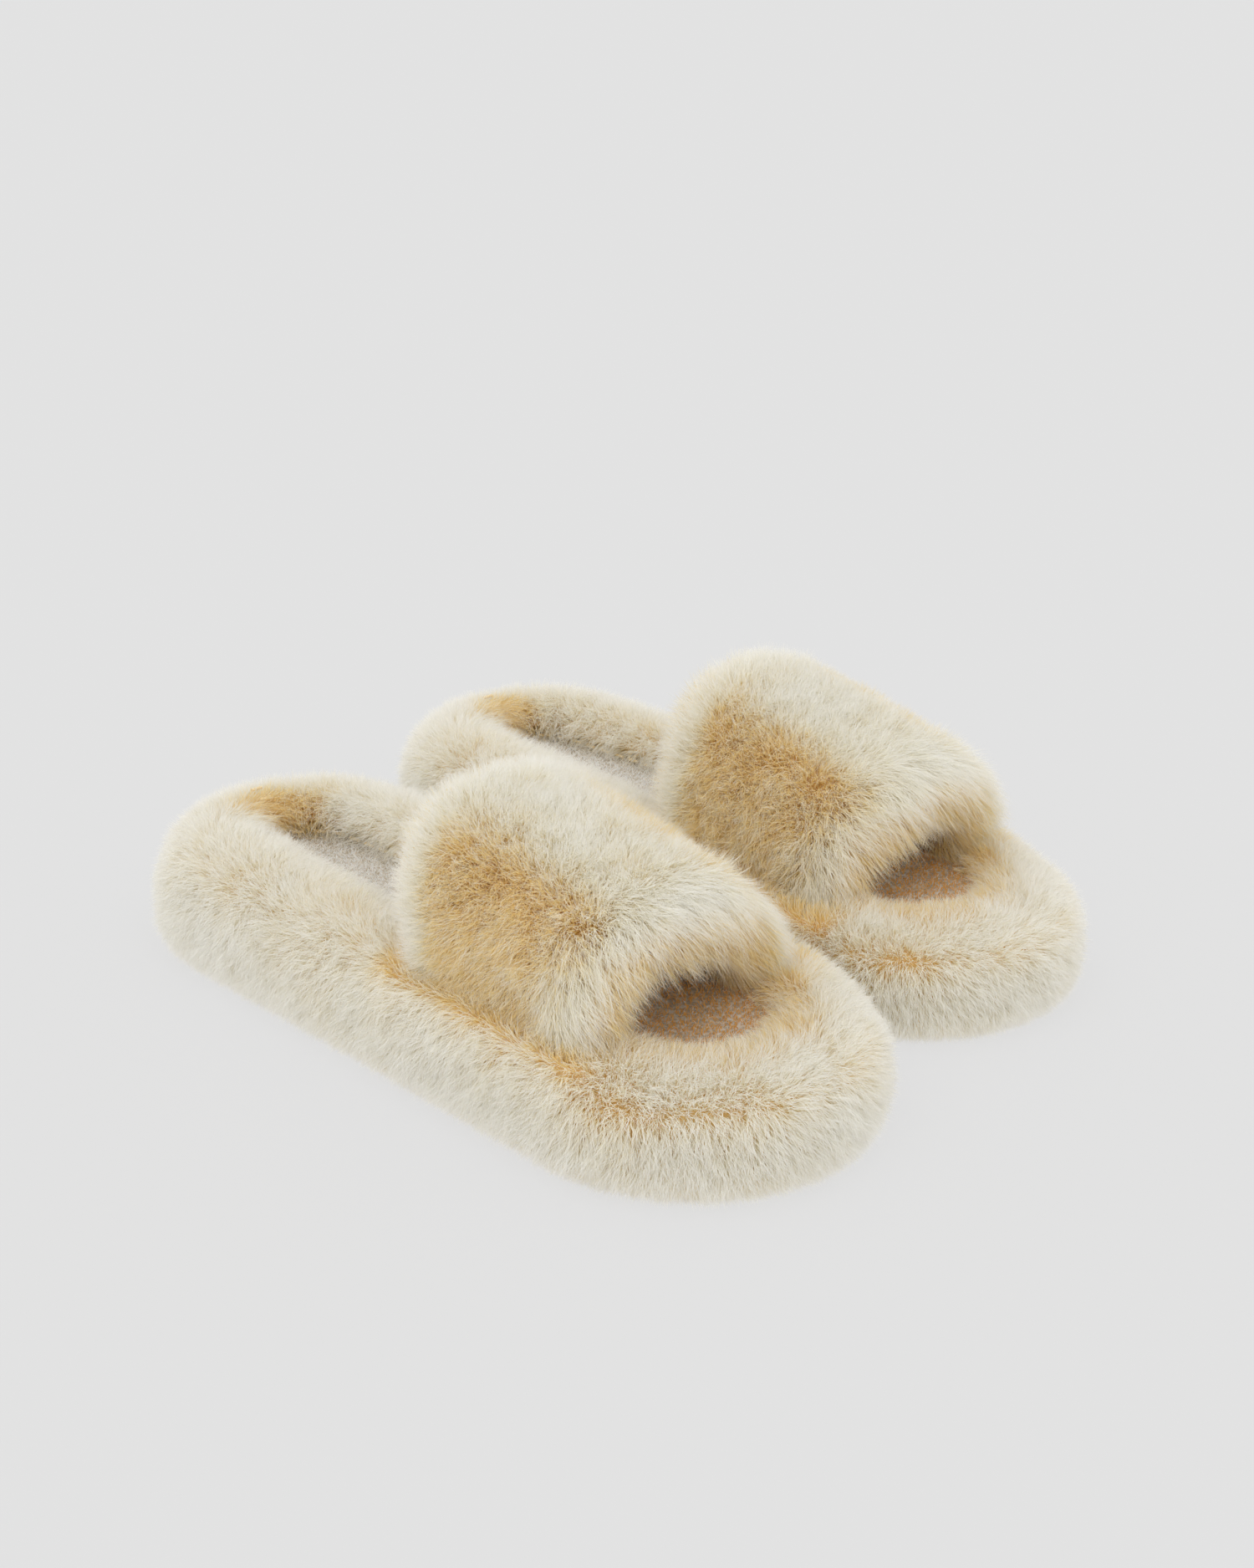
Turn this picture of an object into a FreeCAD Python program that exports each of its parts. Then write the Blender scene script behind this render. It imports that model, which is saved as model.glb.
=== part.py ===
import FreeCAD, Part
import math
import os

import Sketcher

# A pair of open-toe, open-back fluffy slides in millimetres: +Z up, toes towards -Y, the floor at Z = 0.
# The right slipper stands at -X and the left one at +X, a little further back.
# Each is slip-lasted: a moulded outsole, a foam platform, a board, a soft footbed and its sock liner, a
# foam-filled fur rim wrapped round them, and a fur band over the instep with a foam and a plush layer.

SIZES = (
    ("slipper_length", 272.0),      # over the fur, heel to toe
    ("heel_radius", 50.0),          # fur outline round the heel
    ("forefoot_radius", 55.5),      # fur outline round the toes
    ("toe_shift", 1.0),             # forefoot centre towards the other foot
    ("pair_gap", 0.3),              # room left between the two slippers' widest points
    ("pair_stagger", 17.0),         # left slipper behind the right one
    ("fit_gap", 0.3),               # clearance between neighbouring soft pieces
    ("sole_inset", 20.0),           # edge of the sole inside the fur outline
    ("outsole_thickness", 4.0),
    ("sole_round", 1.2),            # rounding of the outsole's lower edge
    ("groove_width", 3.0),          # tread grooves across the outsole
    ("groove_depth", 1.5),
    ("groove_pitch", 13.0),
    ("midsole_thickness", 13.0),
    ("board_thickness", 1.6),
    ("footbed_thickness", 7.0),
    ("liner_thickness", 2.0),
    ("rim_width", 33.0),            # fur roll, from its outline in to the sock liner
    ("rim_height", 41.0),
    ("rim_ground", 0.6),            # fur above the floor
    ("rim_outer_round", 18.0),
    ("rim_inner_round", 13.0),
    ("rim_foot_round", 9.0),
    ("rim_pile", 11.0),             # fur and backing outside the rim's foam strip
    ("rim_foam_floor", 7.0),        # underside of the foam strip
    ("rim_foam_top", 1.6),          # foam strip ends this far below the liner's top
    ("rim_backing", 1.2),           # cover's backing between the foam strip and the sole
    ("rim_foam_round", 2.5),
    ("band_rear", -4.0),            # rear edge of the band, from the middle of the slipper
    ("band_length", 74.0),
    ("band_half_width", 42.0),      # fur surface of the band at its foot
    ("band_rear_height", 91.0),
    ("band_front_height", 73.0),
    ("band_flare", 7.0),            # each edge reaches this far out at the top of the arch
    ("band_lean", 5.0),             # top of the arch, towards the outside of the foot
    ("band_edge_drop", 5.0),        # the fur falls away towards both edges
    ("band_edge_run", 14.0),        # over this length
    ("band_fullness", 2.4),         # 2 is an ellipse, more is squarer shoulders
    ("band_pile", 10.0),            # fur and backing over the band's foam
    ("band_foam_thickness", 3.0),
    ("band_lining_thickness", 3.0),
    ("band_lip", 7.0),              # fur turned under past the foam at both edges
    ("lining_margin", 4.0),         # lining stops this far inside the band's edges
    ("thread_radius", 0.5),
    ("stitch_length", 4.0),
    ("stitch_pitch", 7.0),
    ("heel_stitches", 4.0),
)

SIDES = (("right", -1), ("left", 1))

doc = FreeCAD.newDocument("FluffySlippers")
sheet = doc.addObject("Spreadsheet::Sheet", "Sizes")
for row, (alias, number) in enumerate(SIZES, start=1):
    sheet.set(f"A{row}", alias)
    sheet.set(f"B{row}", str(number))
    sheet.setAlias(f"B{row}", alias)
doc.recompute()


# ---- lengths that are both a number and an expression on the sheet ---------------------------------------------
class Length:
    """A length in mm: its value now, and the sheet expression that it stays bound to."""

    def __init__(self, value, text):
        self.value = value
        self.text = text

    def __add__(self, other):
        return Length(self.value + other.value, f"({self.text} + {other.text})")

    def __sub__(self, other):
        return Length(self.value - other.value, f"({self.text} - {other.text})")

    def __mul__(self, factor):
        return Length(self.value * factor, f"({self.text} * {factor})")


def cell(alias):
    """One cell of the sheet."""
    return Length(float(getattr(sheet, alias)), f"Sizes.{alias}")


def smaller(first, second):
    """The smaller of two lengths."""
    return Length(min(first.value, second.value), f"min({first.text}; {second.text})")


def larger(first, second):
    """The larger of two lengths."""
    return Length(max(first.value, second.value), f"max({first.text}; {second.text})")


ZERO = Length(0.0, "0")
GAP = cell("fit_gap")
LAYERS = ("outsole_thickness", "midsole_thickness", "board_thickness", "footbed_thickness", "liner_thickness")


def layer_base(layer):
    """Height of a sole layer's underside."""
    return sum((cell(name) for name in LAYERS[:LAYERS.index(layer)]), ZERO)


LINER_TOP = sum((cell(name) for name in LAYERS), ZERO)
FOOT_BASE = LINER_TOP + GAP
HALF_LENGTH = cell("slipper_length") * 0.5
HEEL_Y = HALF_LENGTH - cell("heel_radius")
TOE_DEPTH = HALF_LENGTH - cell("forefoot_radius")
SOLE_INSET = cell("sole_inset")
RIM_BASE = cell("rim_ground")
BAND_REAR = cell("band_rear")
BAND_FRONT = BAND_REAR - cell("band_length")
WIDEST_HALF = larger(cell("forefoot_radius") + cell("toe_shift"), cell("heel_radius"))
PAIR_SPACING = WIDEST_HALF * 2 + cell("pair_gap")


def slipper_place(side, height):
    """Place of one slipper's own frame in the pair, at a height."""
    return (PAIR_SPACING * (side / 2), cell("pair_stagger") * (side / 2), height)


def bind_place(obj, side, height=ZERO):
    """Bind an object's placement to its slipper's place."""
    for axis, length in zip("xyz", slipper_place(side, height)):
        obj.setExpression(f"Placement.Base.{axis}", length.text)


def fixed_place(side):
    """The same place as a fixed placement, for a shape that is worked out in code."""
    return FreeCAD.Placement(FreeCAD.Vector(*(length.value for length in slipper_place(side, ZERO))),
                             FreeCAD.Rotation())


# ---- the slipper's outline -------------------------------------------------------------------------------------
def outline_frame(side):
    """Heel and forefoot centres, and the directions of the points where the straight sides touch their arcs."""
    heel = FreeCAD.Vector(0, HEEL_Y.value, 0)
    toe = FreeCAD.Vector(-side * cell("toe_shift").value, -TOE_DEPTH.value, 0)
    axis = toe - heel
    heading = math.atan2(axis.y, axis.x)
    spread = math.acos((cell("heel_radius") - cell("forefoot_radius")).value / axis.Length)
    return heel, toe, heading - spread, heading + spread


def polar(centre, radius, angle):
    """Point at an angle on a circle."""
    return centre + FreeCAD.Vector(math.cos(angle), math.sin(angle), 0) * radius


def outline_sketch(body, name, side, inset):
    """Closed outline, a given inset inside the fur: heel arc, forefoot arc and two sides tangent to both."""
    heel, toe, low, high = outline_frame(side)
    heel_radius = cell("heel_radius") - inset
    toe_radius = cell("forefoot_radius") - inset
    sketch = body.newObject("Sketcher::SketchObject", name)
    plane = next(feature for feature in body.Origin.OriginFeatures if feature.Role == "XY_Plane")
    sketch.AttachmentSupport = [(plane, "")]
    sketch.MapMode = "FlatFace"
    up = FreeCAD.Vector(0, 0, 1)
    heel_circle = Part.Circle(heel, up, heel_radius.value)
    toe_circle = Part.Circle(toe, up, toe_radius.value)
    sketch.addGeometry(Part.ArcOfCircle(heel_circle, high, low + 2 * math.pi), False)
    sketch.addGeometry(Part.ArcOfCircle(toe_circle, low, high), False)
    for angle in (low, high):
        side_line = Part.LineSegment(polar(heel, heel_radius.value, angle), polar(toe, toe_radius.value, angle))
        sketch.addGeometry(side_line, False)
    for arc, arc_end, line, line_end in ((0, 2, 2, 1), (1, 1, 2, 2), (0, 1, 3, 1), (1, 2, 3, 2)):
        sketch.addConstraint(Sketcher.Constraint("Tangent", arc, arc_end, line, line_end))
    sketch.addConstraint(Sketcher.Constraint("PointOnObject", 0, 3, -2))
    toe_across = (-1, 1, 1, 3) if side < 0 else (1, 3, -1, 1)
    dimensions = (
        ("Radius", (0,), heel_radius),
        ("Radius", (1,), toe_radius),
        ("DistanceY", (-1, 1, 0, 3), HEEL_Y),
        ("DistanceY", (1, 3, -1, 1), TOE_DEPTH),
        ("DistanceX", toe_across, cell("toe_shift")),
    )
    for kind, points, length in dimensions:
        index = sketch.addConstraint(Sketcher.Constraint(kind, *points, length.value))
        sketch.setExpression(f"Constraints[{index}]", length.text)
    return sketch


def new_body(label, side, height=ZERO):
    """Empty body in its slipper's place."""
    body = doc.addObject("PartDesign::Body", label)
    body.Label = label
    bind_place(body, side, height)
    return body


def pad_outline(body, side, inset, length):
    """Pad the outline, at an inset, upwards from the body's base."""
    sketch = outline_sketch(body, f"{body.Label}_outline", side, inset)
    pad = body.newObject("PartDesign::Pad", f"{body.Label}_pad")
    pad.Profile = sketch
    pad.setExpression("Length", length.text)
    sketch.Visibility = False
    doc.recompute()
    return pad


def bore_outline(body, tag, side, inset, depth=None):
    """Pocket the outline, at an inset, upwards from the body's base, to a depth or right through."""
    sketch = outline_sketch(body, f"{body.Label}_{tag}_outline", side, inset)
    before = body.Shape.Volume
    pocket = body.newObject("PartDesign::Pocket", f"{body.Label}_{tag}")
    pocket.Profile = sketch
    pocket.Reversed = True
    if depth is None:
        pocket.Type = "ThroughAll"
    else:
        pocket.setExpression("Length", depth.text)
    doc.recompute()
    if not pocket.Shape.Volume < before:
        raise RuntimeError(f"{pocket.Name} cuts nothing")
    return pocket


def round_edges(body, tag, edges, radius):
    """Fillet named edges of the body's tip."""
    base = body.Tip
    fillet = body.newObject("PartDesign::Fillet", f"{body.Label}_{tag}")
    fillet.Base = (base, edges)
    fillet.setExpression("Radius", radius.text)
    doc.recompute()
    return fillet


def loop_edges(shape, height, outer):
    """Names of the edges of the outer or inner loop of the flat face at a height."""
    tolerance = 1e-4
    faces = [face for face in shape.Faces
             if face.BoundBox.ZLength < tolerance and abs(face.BoundBox.ZMin - height) < tolerance]
    face = max(faces, key=lambda item: item.BoundBox.DiagonalLength)
    wires = [wire for wire in face.Wires if wire.isSame(face.OuterWire) == outer]
    loop = [edge for wire in wires for edge in wire.Edges]
    return [f"Edge{index}" for index, edge in enumerate(shape.Edges, start=1)
            if any(edge.isSame(part) for part in loop)]


# ---- sole layers -----------------------------------------------------------------------------------------------
def sole_layer(label, side, layer):
    """Flat layer of the sole, on the sole's outline."""
    body = new_body(label, side, layer_base(layer))
    pad_outline(body, side, SOLE_INSET, cell(layer))
    return body


def outsole(label, side):
    """Moulded rubber outsole: rounded lower edge and tread grooves straight across it."""
    body = sole_layer(label, side, "outsole_thickness")
    round_edges(body, "edge_round", loop_edges(body.Shape, body.Placement.Base.z, True), cell("sole_round"))
    sketch = body.newObject("Sketcher::SketchObject", f"{label}_groove_outline")
    plane = next(feature for feature in body.Origin.OriginFeatures if feature.Role == "XY_Plane")
    sketch.AttachmentSupport = [(plane, "")]
    sketch.MapMode = "FlatFace"
    half_span = cell("forefoot_radius")
    rear = HALF_LENGTH - SOLE_INSET - cell("groove_pitch")
    front = rear - cell("groove_width")
    corners = [FreeCAD.Vector(x, y, 0) for x, y in (
        (-half_span.value, front.value), (half_span.value, front.value),
        (half_span.value, rear.value), (-half_span.value, rear.value))]
    for start, end in zip(corners, corners[1:] + corners[:1]):
        sketch.addGeometry(Part.LineSegment(start, end), False)
    for line in range(4):
        sketch.addConstraint(Sketcher.Constraint("Coincident", line, 2, (line + 1) % 4, 1))
    for line, kind in enumerate(("Horizontal", "Vertical", "Horizontal", "Vertical")):
        sketch.addConstraint(Sketcher.Constraint(kind, line))
    dimensions = (
        ("DistanceX", (0, 1, -1, 1), half_span),
        ("DistanceX", (0, 1, 0, 2), half_span * 2),
        ("DistanceY", (1, 1, 1, 2), cell("groove_width")),
        ("DistanceY", (-1, 1, 2, 1), rear),
    )
    for kind, points, length in dimensions:
        index = sketch.addConstraint(Sketcher.Constraint(kind, *points, length.value))
        sketch.setExpression(f"Constraints[{index}]", length.text)
    before = body.Shape.Volume
    groove = body.newObject("PartDesign::Pocket", f"{label}_groove")
    groove.Profile = sketch
    groove.Reversed = True
    groove.setExpression("Length", cell("groove_depth").text)
    doc.recompute()
    if not groove.Shape.Volume < before:
        raise RuntimeError(f"{groove.Name} cuts nothing")
    pattern = body.newObject("PartDesign::LinearPattern", f"{label}_tread")
    pattern.Originals = [groove]
    pattern.Direction = (sketch, ["V_Axis"])
    pattern.Reversed = True
    span = cell("slipper_length") - SOLE_INSET * 2 - cell("groove_pitch") * 2
    grooves = math.floor(span.value / cell("groove_pitch").value) + 1
    pattern.Occurrences = grooves
    pattern.setExpression("Length", (cell("groove_pitch") * (grooves - 1)).text)
    body.Tip = pattern
    doc.recompute()
    return body


# ---- rim -------------------------------------------------------------------------------------------------------
def ring(label, side, base, height, outer_inset, inner_inset):
    """Ring between two insets of the outline."""
    body = new_body(label, side, base)
    pad_outline(body, side, outer_inset, height)
    bore_outline(body, "bore", side, inner_inset)
    return body


def rim_foam_ring(label, side, slack):
    """Foam strip beside the sole, or, with slack, the space that the cover leaves for it."""
    base = cell("rim_foam_floor") - slack
    height = LINER_TOP - cell("rim_foam_top") + slack - base
    inner = SOLE_INSET - GAP - cell("rim_backing") - GAP + slack
    body = ring(label, side, base, height, cell("rim_pile") + GAP - slack, inner)
    for tag, level in (("top_round", base + height), ("base_round", base)):
        round_edges(body, tag, loop_edges(body.Shape, level.value, True), cell("rim_foam_round"))
    return body


def rim_form(label, side):
    """Outer form of the fur roll, open over the footbed and hollow below for the sole."""
    body = ring(label, side, RIM_BASE, cell("rim_height") - RIM_BASE, ZERO, cell("rim_width"))
    bore_outline(body, "sole_room", side, SOLE_INSET - GAP, LINER_TOP + GAP - RIM_BASE)
    wall = cell("rim_height") - LINER_TOP - GAP - GAP
    inner_round = smaller(cell("rim_inner_round"), wall)
    outer_round = smaller(cell("rim_outer_round"), cell("rim_width") - cell("rim_inner_round") - GAP)
    top = cell("rim_height").value
    round_edges(body, "outer_round", loop_edges(body.Shape, top, True), outer_round)
    round_edges(body, "inner_round", loop_edges(body.Shape, top, False), inner_round)
    round_edges(body, "foot_round", loop_edges(body.Shape, RIM_BASE.value, True), cell("rim_foot_round"))
    return body


# ---- band over the instep --------------------------------------------------------------------------------------
def band_top(y):
    """Height of the band's fur at a place along the slipper."""
    rear, front = BAND_REAR.value, BAND_FRONT.value
    share = (rear - y) / (rear - front)
    height = cell("band_rear_height").value + share * (cell("band_front_height") - cell("band_rear_height")).value
    into_edge = max(0.0, 1 - min(rear - y, y - front) / cell("band_edge_run").value)
    return height - cell("band_edge_drop").value * min(into_edge, 1.0) ** 2


def arch_point(angle, half_width, rise, base):
    """Point on the band's superellipse, as across and up."""
    power = 2 / cell("band_fullness").value
    across = -math.copysign(abs(math.cos(angle)) ** power, math.cos(angle)) * half_width
    return across, base + max(math.sin(angle), 0.0) ** power * rise


def swing(side, y, share):
    """How far a point of the arch lies across and along from its foot, by its share of the arch's rise."""
    middle = (BAND_REAR.value + BAND_FRONT.value) / 2
    half_length = cell("band_length").value / 2
    return side * cell("band_lean").value * share, cell("band_flare").value * (y - middle) / half_length * share


def arch_wire(side, y, inset, base):
    """Closed arch at one place along the slipper: a smooth curve over the foot and a flat base."""
    half_width = cell("band_half_width").value - inset
    rise = band_top(y) - inset - base
    points = []
    for step in range(ARCH_STEPS + 1):
        across, height = arch_point(math.pi * step / ARCH_STEPS, half_width, rise, base)
        lean, flare = swing(side, y, (height - base) / rise)
        points.append(FreeCAD.Vector(across + lean, y + flare, height))
    curve = Part.BSplineCurve()
    curve.interpolate(Points=points)
    return Part.Wire([curve.toShape(), Part.LineSegment(points[-1], points[0]).toShape()])


ARCH_STEPS = 12                     # spans of the curve over one arch
EDGE_STATIONS = (0.0, 0.5, 1.0)     # shares of the edge run where the arch is drawn
STATION_SPACE = 1.0                 # least distance between two of them
OVERRUN = -5.0                      # a cutting tool runs this far past both edges of the band
UNDERCUT = 1.0                      # and starts this far below its foot


def arch_solid(side, inset, margin, base):
    """Solid under the band's surface at an inset, its ends a margin inside the band's edges."""
    rear, front = BAND_REAR.value - margin, BAND_FRONT.value + margin
    run = cell("band_edge_run").value
    edges = [run * share for share in EDGE_STATIONS]
    inner = [BAND_REAR.value - reach for reach in edges] + [BAND_FRONT.value + reach for reach in reversed(edges)]
    places = [rear] + [y for y in inner if front + STATION_SPACE < y < rear - STATION_SPACE] + [front]
    return Part.makeLoft([arch_wire(side, y, inset, base) for y in places], True, False)


def band_feature(label, side, shape):
    """Document object for a band layer, whose shape is worked out from the sheet."""
    feature = doc.addObject("Part::Feature", label)
    feature.Label = label
    feature.Shape = shape
    feature.Placement = fixed_place(side)
    return feature


BAND_FOAM_OUTER = (cell("band_pile") + GAP).value
BAND_FOAM_INNER = BAND_FOAM_OUTER + cell("band_foam_thickness").value
BAND_LINING_OUTER = BAND_FOAM_INNER + 2 * GAP.value
BAND_LINING_INNER = BAND_LINING_OUTER + cell("band_lining_thickness").value


def band_fur_shape(side):
    """Fur of the band, turned under at both edges round its foam."""
    base = FOOT_BASE.value
    outer = arch_solid(side, 0.0, 0.0, base)
    bore = arch_solid(side, BAND_FOAM_INNER, OVERRUN, base - UNDERCUT)
    pocket = arch_solid(side, cell("band_pile").value, cell("band_lip").value - GAP.value, base - UNDERCUT)
    return outer.cut(bore).cut(pocket)


def band_foam_shape(side):
    """Foam between the band's fur and its lining."""
    base, lip = FOOT_BASE.value, cell("band_lip").value
    outer = arch_solid(side, BAND_FOAM_OUTER, lip, base)
    return outer.cut(arch_solid(side, BAND_FOAM_INNER, lip + OVERRUN, base - UNDERCUT))


def band_lining_shape(side):
    """Plush lining on the inside of the band."""
    base, margin = FOOT_BASE.value, cell("lining_margin").value
    outer = arch_solid(side, BAND_LINING_OUTER, margin, base)
    return outer.cut(arch_solid(side, BAND_LINING_INNER, margin + OVERRUN, base - UNDERCUT))


def band_room(label, side):
    """Space that the fur rim leaves for the band."""
    return band_feature(label, side, arch_solid(side, -GAP.value, -GAP.value, LINER_TOP.value))


# ---- stitches --------------------------------------------------------------------------------------------------
ARCH_NUDGE = 0.02                   # angle either side of a stitch that gives the arch's direction there
HEEL_SEAM_START = 15.0              # degrees up the rim's inner round to the first heel stitch
HEEL_SEAM_SWEEP = 60.0              # and from the first to the last


def stitch(middle, along):
    """One stitch: a short straight length of thread about its middle point."""
    reach = FreeCAD.Vector(along).normalize() * cell("stitch_length").value / 2
    return Part.makeCylinder(cell("thread_radius").value, reach.Length * 2, middle - reach, reach)


def outline_places(side, inset, pitch):
    """Evenly spaced points round the outline at an inset, each with the outline's direction there."""
    heel, toe, low, high = outline_frame(side)
    heel_radius = cell("heel_radius").value - inset
    toe_radius = cell("forefoot_radius").value - inset
    up = FreeCAD.Vector(0, 0, 1)
    edges = [
        Part.ArcOfCircle(Part.Circle(heel, up, heel_radius), high, low + 2 * math.pi).toShape(),
        Part.LineSegment(polar(heel, heel_radius, low), polar(toe, toe_radius, low)).toShape(),
        Part.ArcOfCircle(Part.Circle(toe, up, toe_radius), low, high).toShape(),
        Part.LineSegment(polar(toe, toe_radius, high), polar(heel, heel_radius, high)).toShape(),
    ]
    places = []
    for edge in edges:
        count = max(1, round(edge.Length / pitch))
        for step in range(count):
            parameter = edge.getParameterByLength(edge.Length * (step + 0.5) / count)
            places.append((edge.valueAt(parameter), edge.tangentAt(parameter)))
    return places


def sock_seam_shape(side):
    """Stitches round the sock liner, in the crease beside the fur rim, left out under the band."""
    radius = cell("thread_radius").value
    height = LINER_TOP.value + radius
    inset = cell("rim_width").value + 2 * radius
    reach = cell("stitch_length").value
    stitches = []
    for point, along in outline_places(side, inset, cell("stitch_pitch").value):
        if BAND_FRONT.value - reach < point.y < BAND_REAR.value + reach:
            continue
        stitches.append(stitch(FreeCAD.Vector(point.x, point.y, height), along))
    return Part.makeCompound(stitches)


def band_edge_shape(side):
    """Stitches that close the band's fur lip, round the arch at its front and rear edges."""
    radius = cell("thread_radius").value
    inset = BAND_FOAM_INNER + 2 * GAP.value + radius
    half_width = cell("band_half_width").value - inset
    base = FOOT_BASE.value
    from_edge = cell("lining_margin").value / 2
    stitches = []
    for y in (BAND_REAR.value - from_edge, BAND_FRONT.value + from_edge):
        rise = band_top(y) - inset - base
        count = math.floor(math.pi / 2 * (half_width + rise) / 2 / cell("stitch_pitch").value) * 2
        for step in range(1, count):
            angle = math.pi * step / count
            across, height = arch_point(angle, half_width, rise, base)
            before = arch_point(angle - ARCH_NUDGE, half_width, rise, base)
            after = arch_point(angle + ARCH_NUDGE, half_width, rise, base)
            along = FreeCAD.Vector(after[0] - before[0], 0, after[1] - before[1])
            lean, flare = swing(side, y, (height - base) / rise)
            stitches.append(stitch(FreeCAD.Vector(across + lean, y + flare, height), along))
    return Part.makeCompound(stitches)


def band_anchor_shape():
    """Stitches that hold the foot of the band's lining down on the sock liner, on both sides."""
    radius = cell("thread_radius").value
    across = cell("band_half_width").value - BAND_LINING_INNER - 2 * radius
    height = LINER_TOP.value + radius
    margin = cell("lining_margin").value
    span = cell("band_length").value - 2 * margin
    count = math.floor(span / cell("stitch_pitch").value)
    stitches = []
    for x in (-across, across):
        for step in range(count):
            y = BAND_REAR.value - margin - span * (step + 0.5) / count
            stitches.append(stitch(FreeCAD.Vector(x, y, height), FreeCAD.Vector(0, 1, 0)))
    return Part.makeCompound(stitches)


def heel_seam_shape():
    """Stitches across the closing seam of the fur rim, up its inner round at the middle of the heel."""
    radius = cell("thread_radius").value
    wall = (cell("rim_height") - LINER_TOP - GAP - GAP).value
    inner_round = min(cell("rim_inner_round").value, wall)
    centre_y = HALF_LENGTH.value - cell("rim_width").value + inner_round
    centre_z = cell("rim_height").value - inner_round
    count = round(cell("heel_stitches").value)
    stitches = []
    for step in range(count):
        angle = math.radians(HEEL_SEAM_START + HEEL_SEAM_SWEEP * step / max(count - 1, 1))
        reach = inner_round + 2 * radius
        middle = FreeCAD.Vector(0, centre_y - reach * math.cos(angle), centre_z + reach * math.sin(angle))
        stitches.append(stitch(middle, FreeCAD.Vector(1, 0, 0)))
    return Part.makeCompound(stitches)


# ---- one slipper -----------------------------------------------------------------------------------------------
def cut_feature(label, base, tool):
    """Part::Cut with its own label."""
    cut = doc.addObject("Part::Cut", label)
    cut.Label = label
    cut.Base = base
    cut.Tool = tool
    doc.recompute()
    return cut


def build_slipper(name, side):
    """All sub-parts of one slipper, by node name."""
    nodes = {}
    nodes["outsole"] = outsole(f"{name}_outsole", side)
    nodes["midsole"] = sole_layer(f"{name}_midsole", side, "midsole_thickness")
    nodes["insole_board"] = sole_layer(f"{name}_insole_board", side, "board_thickness")
    nodes["footbed_foam"] = sole_layer(f"{name}_footbed_foam", side, "footbed_thickness")
    nodes["sock_liner"] = sole_layer(f"{name}_sock_liner", side, "liner_thickness")
    nodes["rim_foam"] = rim_foam_ring(f"{name}_rim_foam", side, ZERO)

    form = rim_form(f"{name}_rim_form", side)
    foam_room = rim_foam_ring(f"{name}_rim_foam_room", side, GAP)
    hollow = cut_feature(f"{name}_rim_hollow", form, foam_room)
    nodes["rim_fur"] = cut_feature(f"{name}_rim_fur", hollow, band_room(f"{name}_band_room", side))

    shapes = {
        "band_fur": band_fur_shape(side),
        "band_foam": band_foam_shape(side),
        "band_lining": band_lining_shape(side),
        "sock_seam_stitches": sock_seam_shape(side),
        "band_edge_stitches": band_edge_shape(side),
        "band_anchor_stitches": band_anchor_shape(),
        "heel_seam_stitches": heel_seam_shape(),
    }
    for piece, shape in shapes.items():
        nodes[piece] = band_feature(f"{name}_{piece}", side, shape)
    return {f"{name}_{piece}": feature for piece, feature in nodes.items()}


parts = {}
for slipper_name, slipper_side in SIDES:
    parts.update(build_slipper(slipper_name, slipper_side))
doc.recompute()

for item in doc.Objects:
    if "Invalid" in item.State or "Error" in item.State:
        raise RuntimeError(f"{item.Label}: {item.State}")
for node, feature in parts.items():
    if feature.Shape.isNull() or not feature.Shape.isValid():
        raise RuntimeError(f"{node}: bad shape")

os.makedirs("parts", exist_ok=True)
for node, feature in parts.items():
    feature.Shape.exportStep(f"parts/{node}.step")
    solids = feature.Shape.Solids
    print(f"{node}: {len(solids)} solid(s), {sum(solid.Volume for solid in solids) / 1000:.1f} cm3")
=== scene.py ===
import logging
import math
from dataclasses import asdict, dataclass, field, fields
from enum import Enum

import bpy
import numpy as np
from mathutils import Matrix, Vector, noise


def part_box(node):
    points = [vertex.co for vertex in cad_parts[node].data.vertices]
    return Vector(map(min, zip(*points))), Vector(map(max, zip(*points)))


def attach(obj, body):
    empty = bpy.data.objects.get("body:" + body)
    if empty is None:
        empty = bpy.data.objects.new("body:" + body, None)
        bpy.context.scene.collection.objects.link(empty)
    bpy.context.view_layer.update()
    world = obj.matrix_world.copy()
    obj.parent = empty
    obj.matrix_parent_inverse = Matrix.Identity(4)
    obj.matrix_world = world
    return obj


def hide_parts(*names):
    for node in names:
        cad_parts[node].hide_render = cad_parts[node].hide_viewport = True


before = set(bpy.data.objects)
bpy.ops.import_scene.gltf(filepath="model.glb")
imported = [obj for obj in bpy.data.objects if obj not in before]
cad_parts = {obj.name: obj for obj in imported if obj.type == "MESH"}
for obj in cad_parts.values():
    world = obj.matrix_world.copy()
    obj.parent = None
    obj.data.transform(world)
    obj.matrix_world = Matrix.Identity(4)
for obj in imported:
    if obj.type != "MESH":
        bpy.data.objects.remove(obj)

# Looks of a pair of open-toe, open-back fur slides, in metres: +Z up, toes towards -Y.
# Each slipper wears a fur rim, a fur band, a terry sock liner and a plush band lining over its CAD layers.

LOG = logging.getLogger("slippers")
MM = 0.001
BAKE_MAP = "OFBake"
NOISE_SEED = 1                           # or else the noise starts elsewhere on each run
LOOK = "look_"                           # starts the name of every material made here


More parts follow.
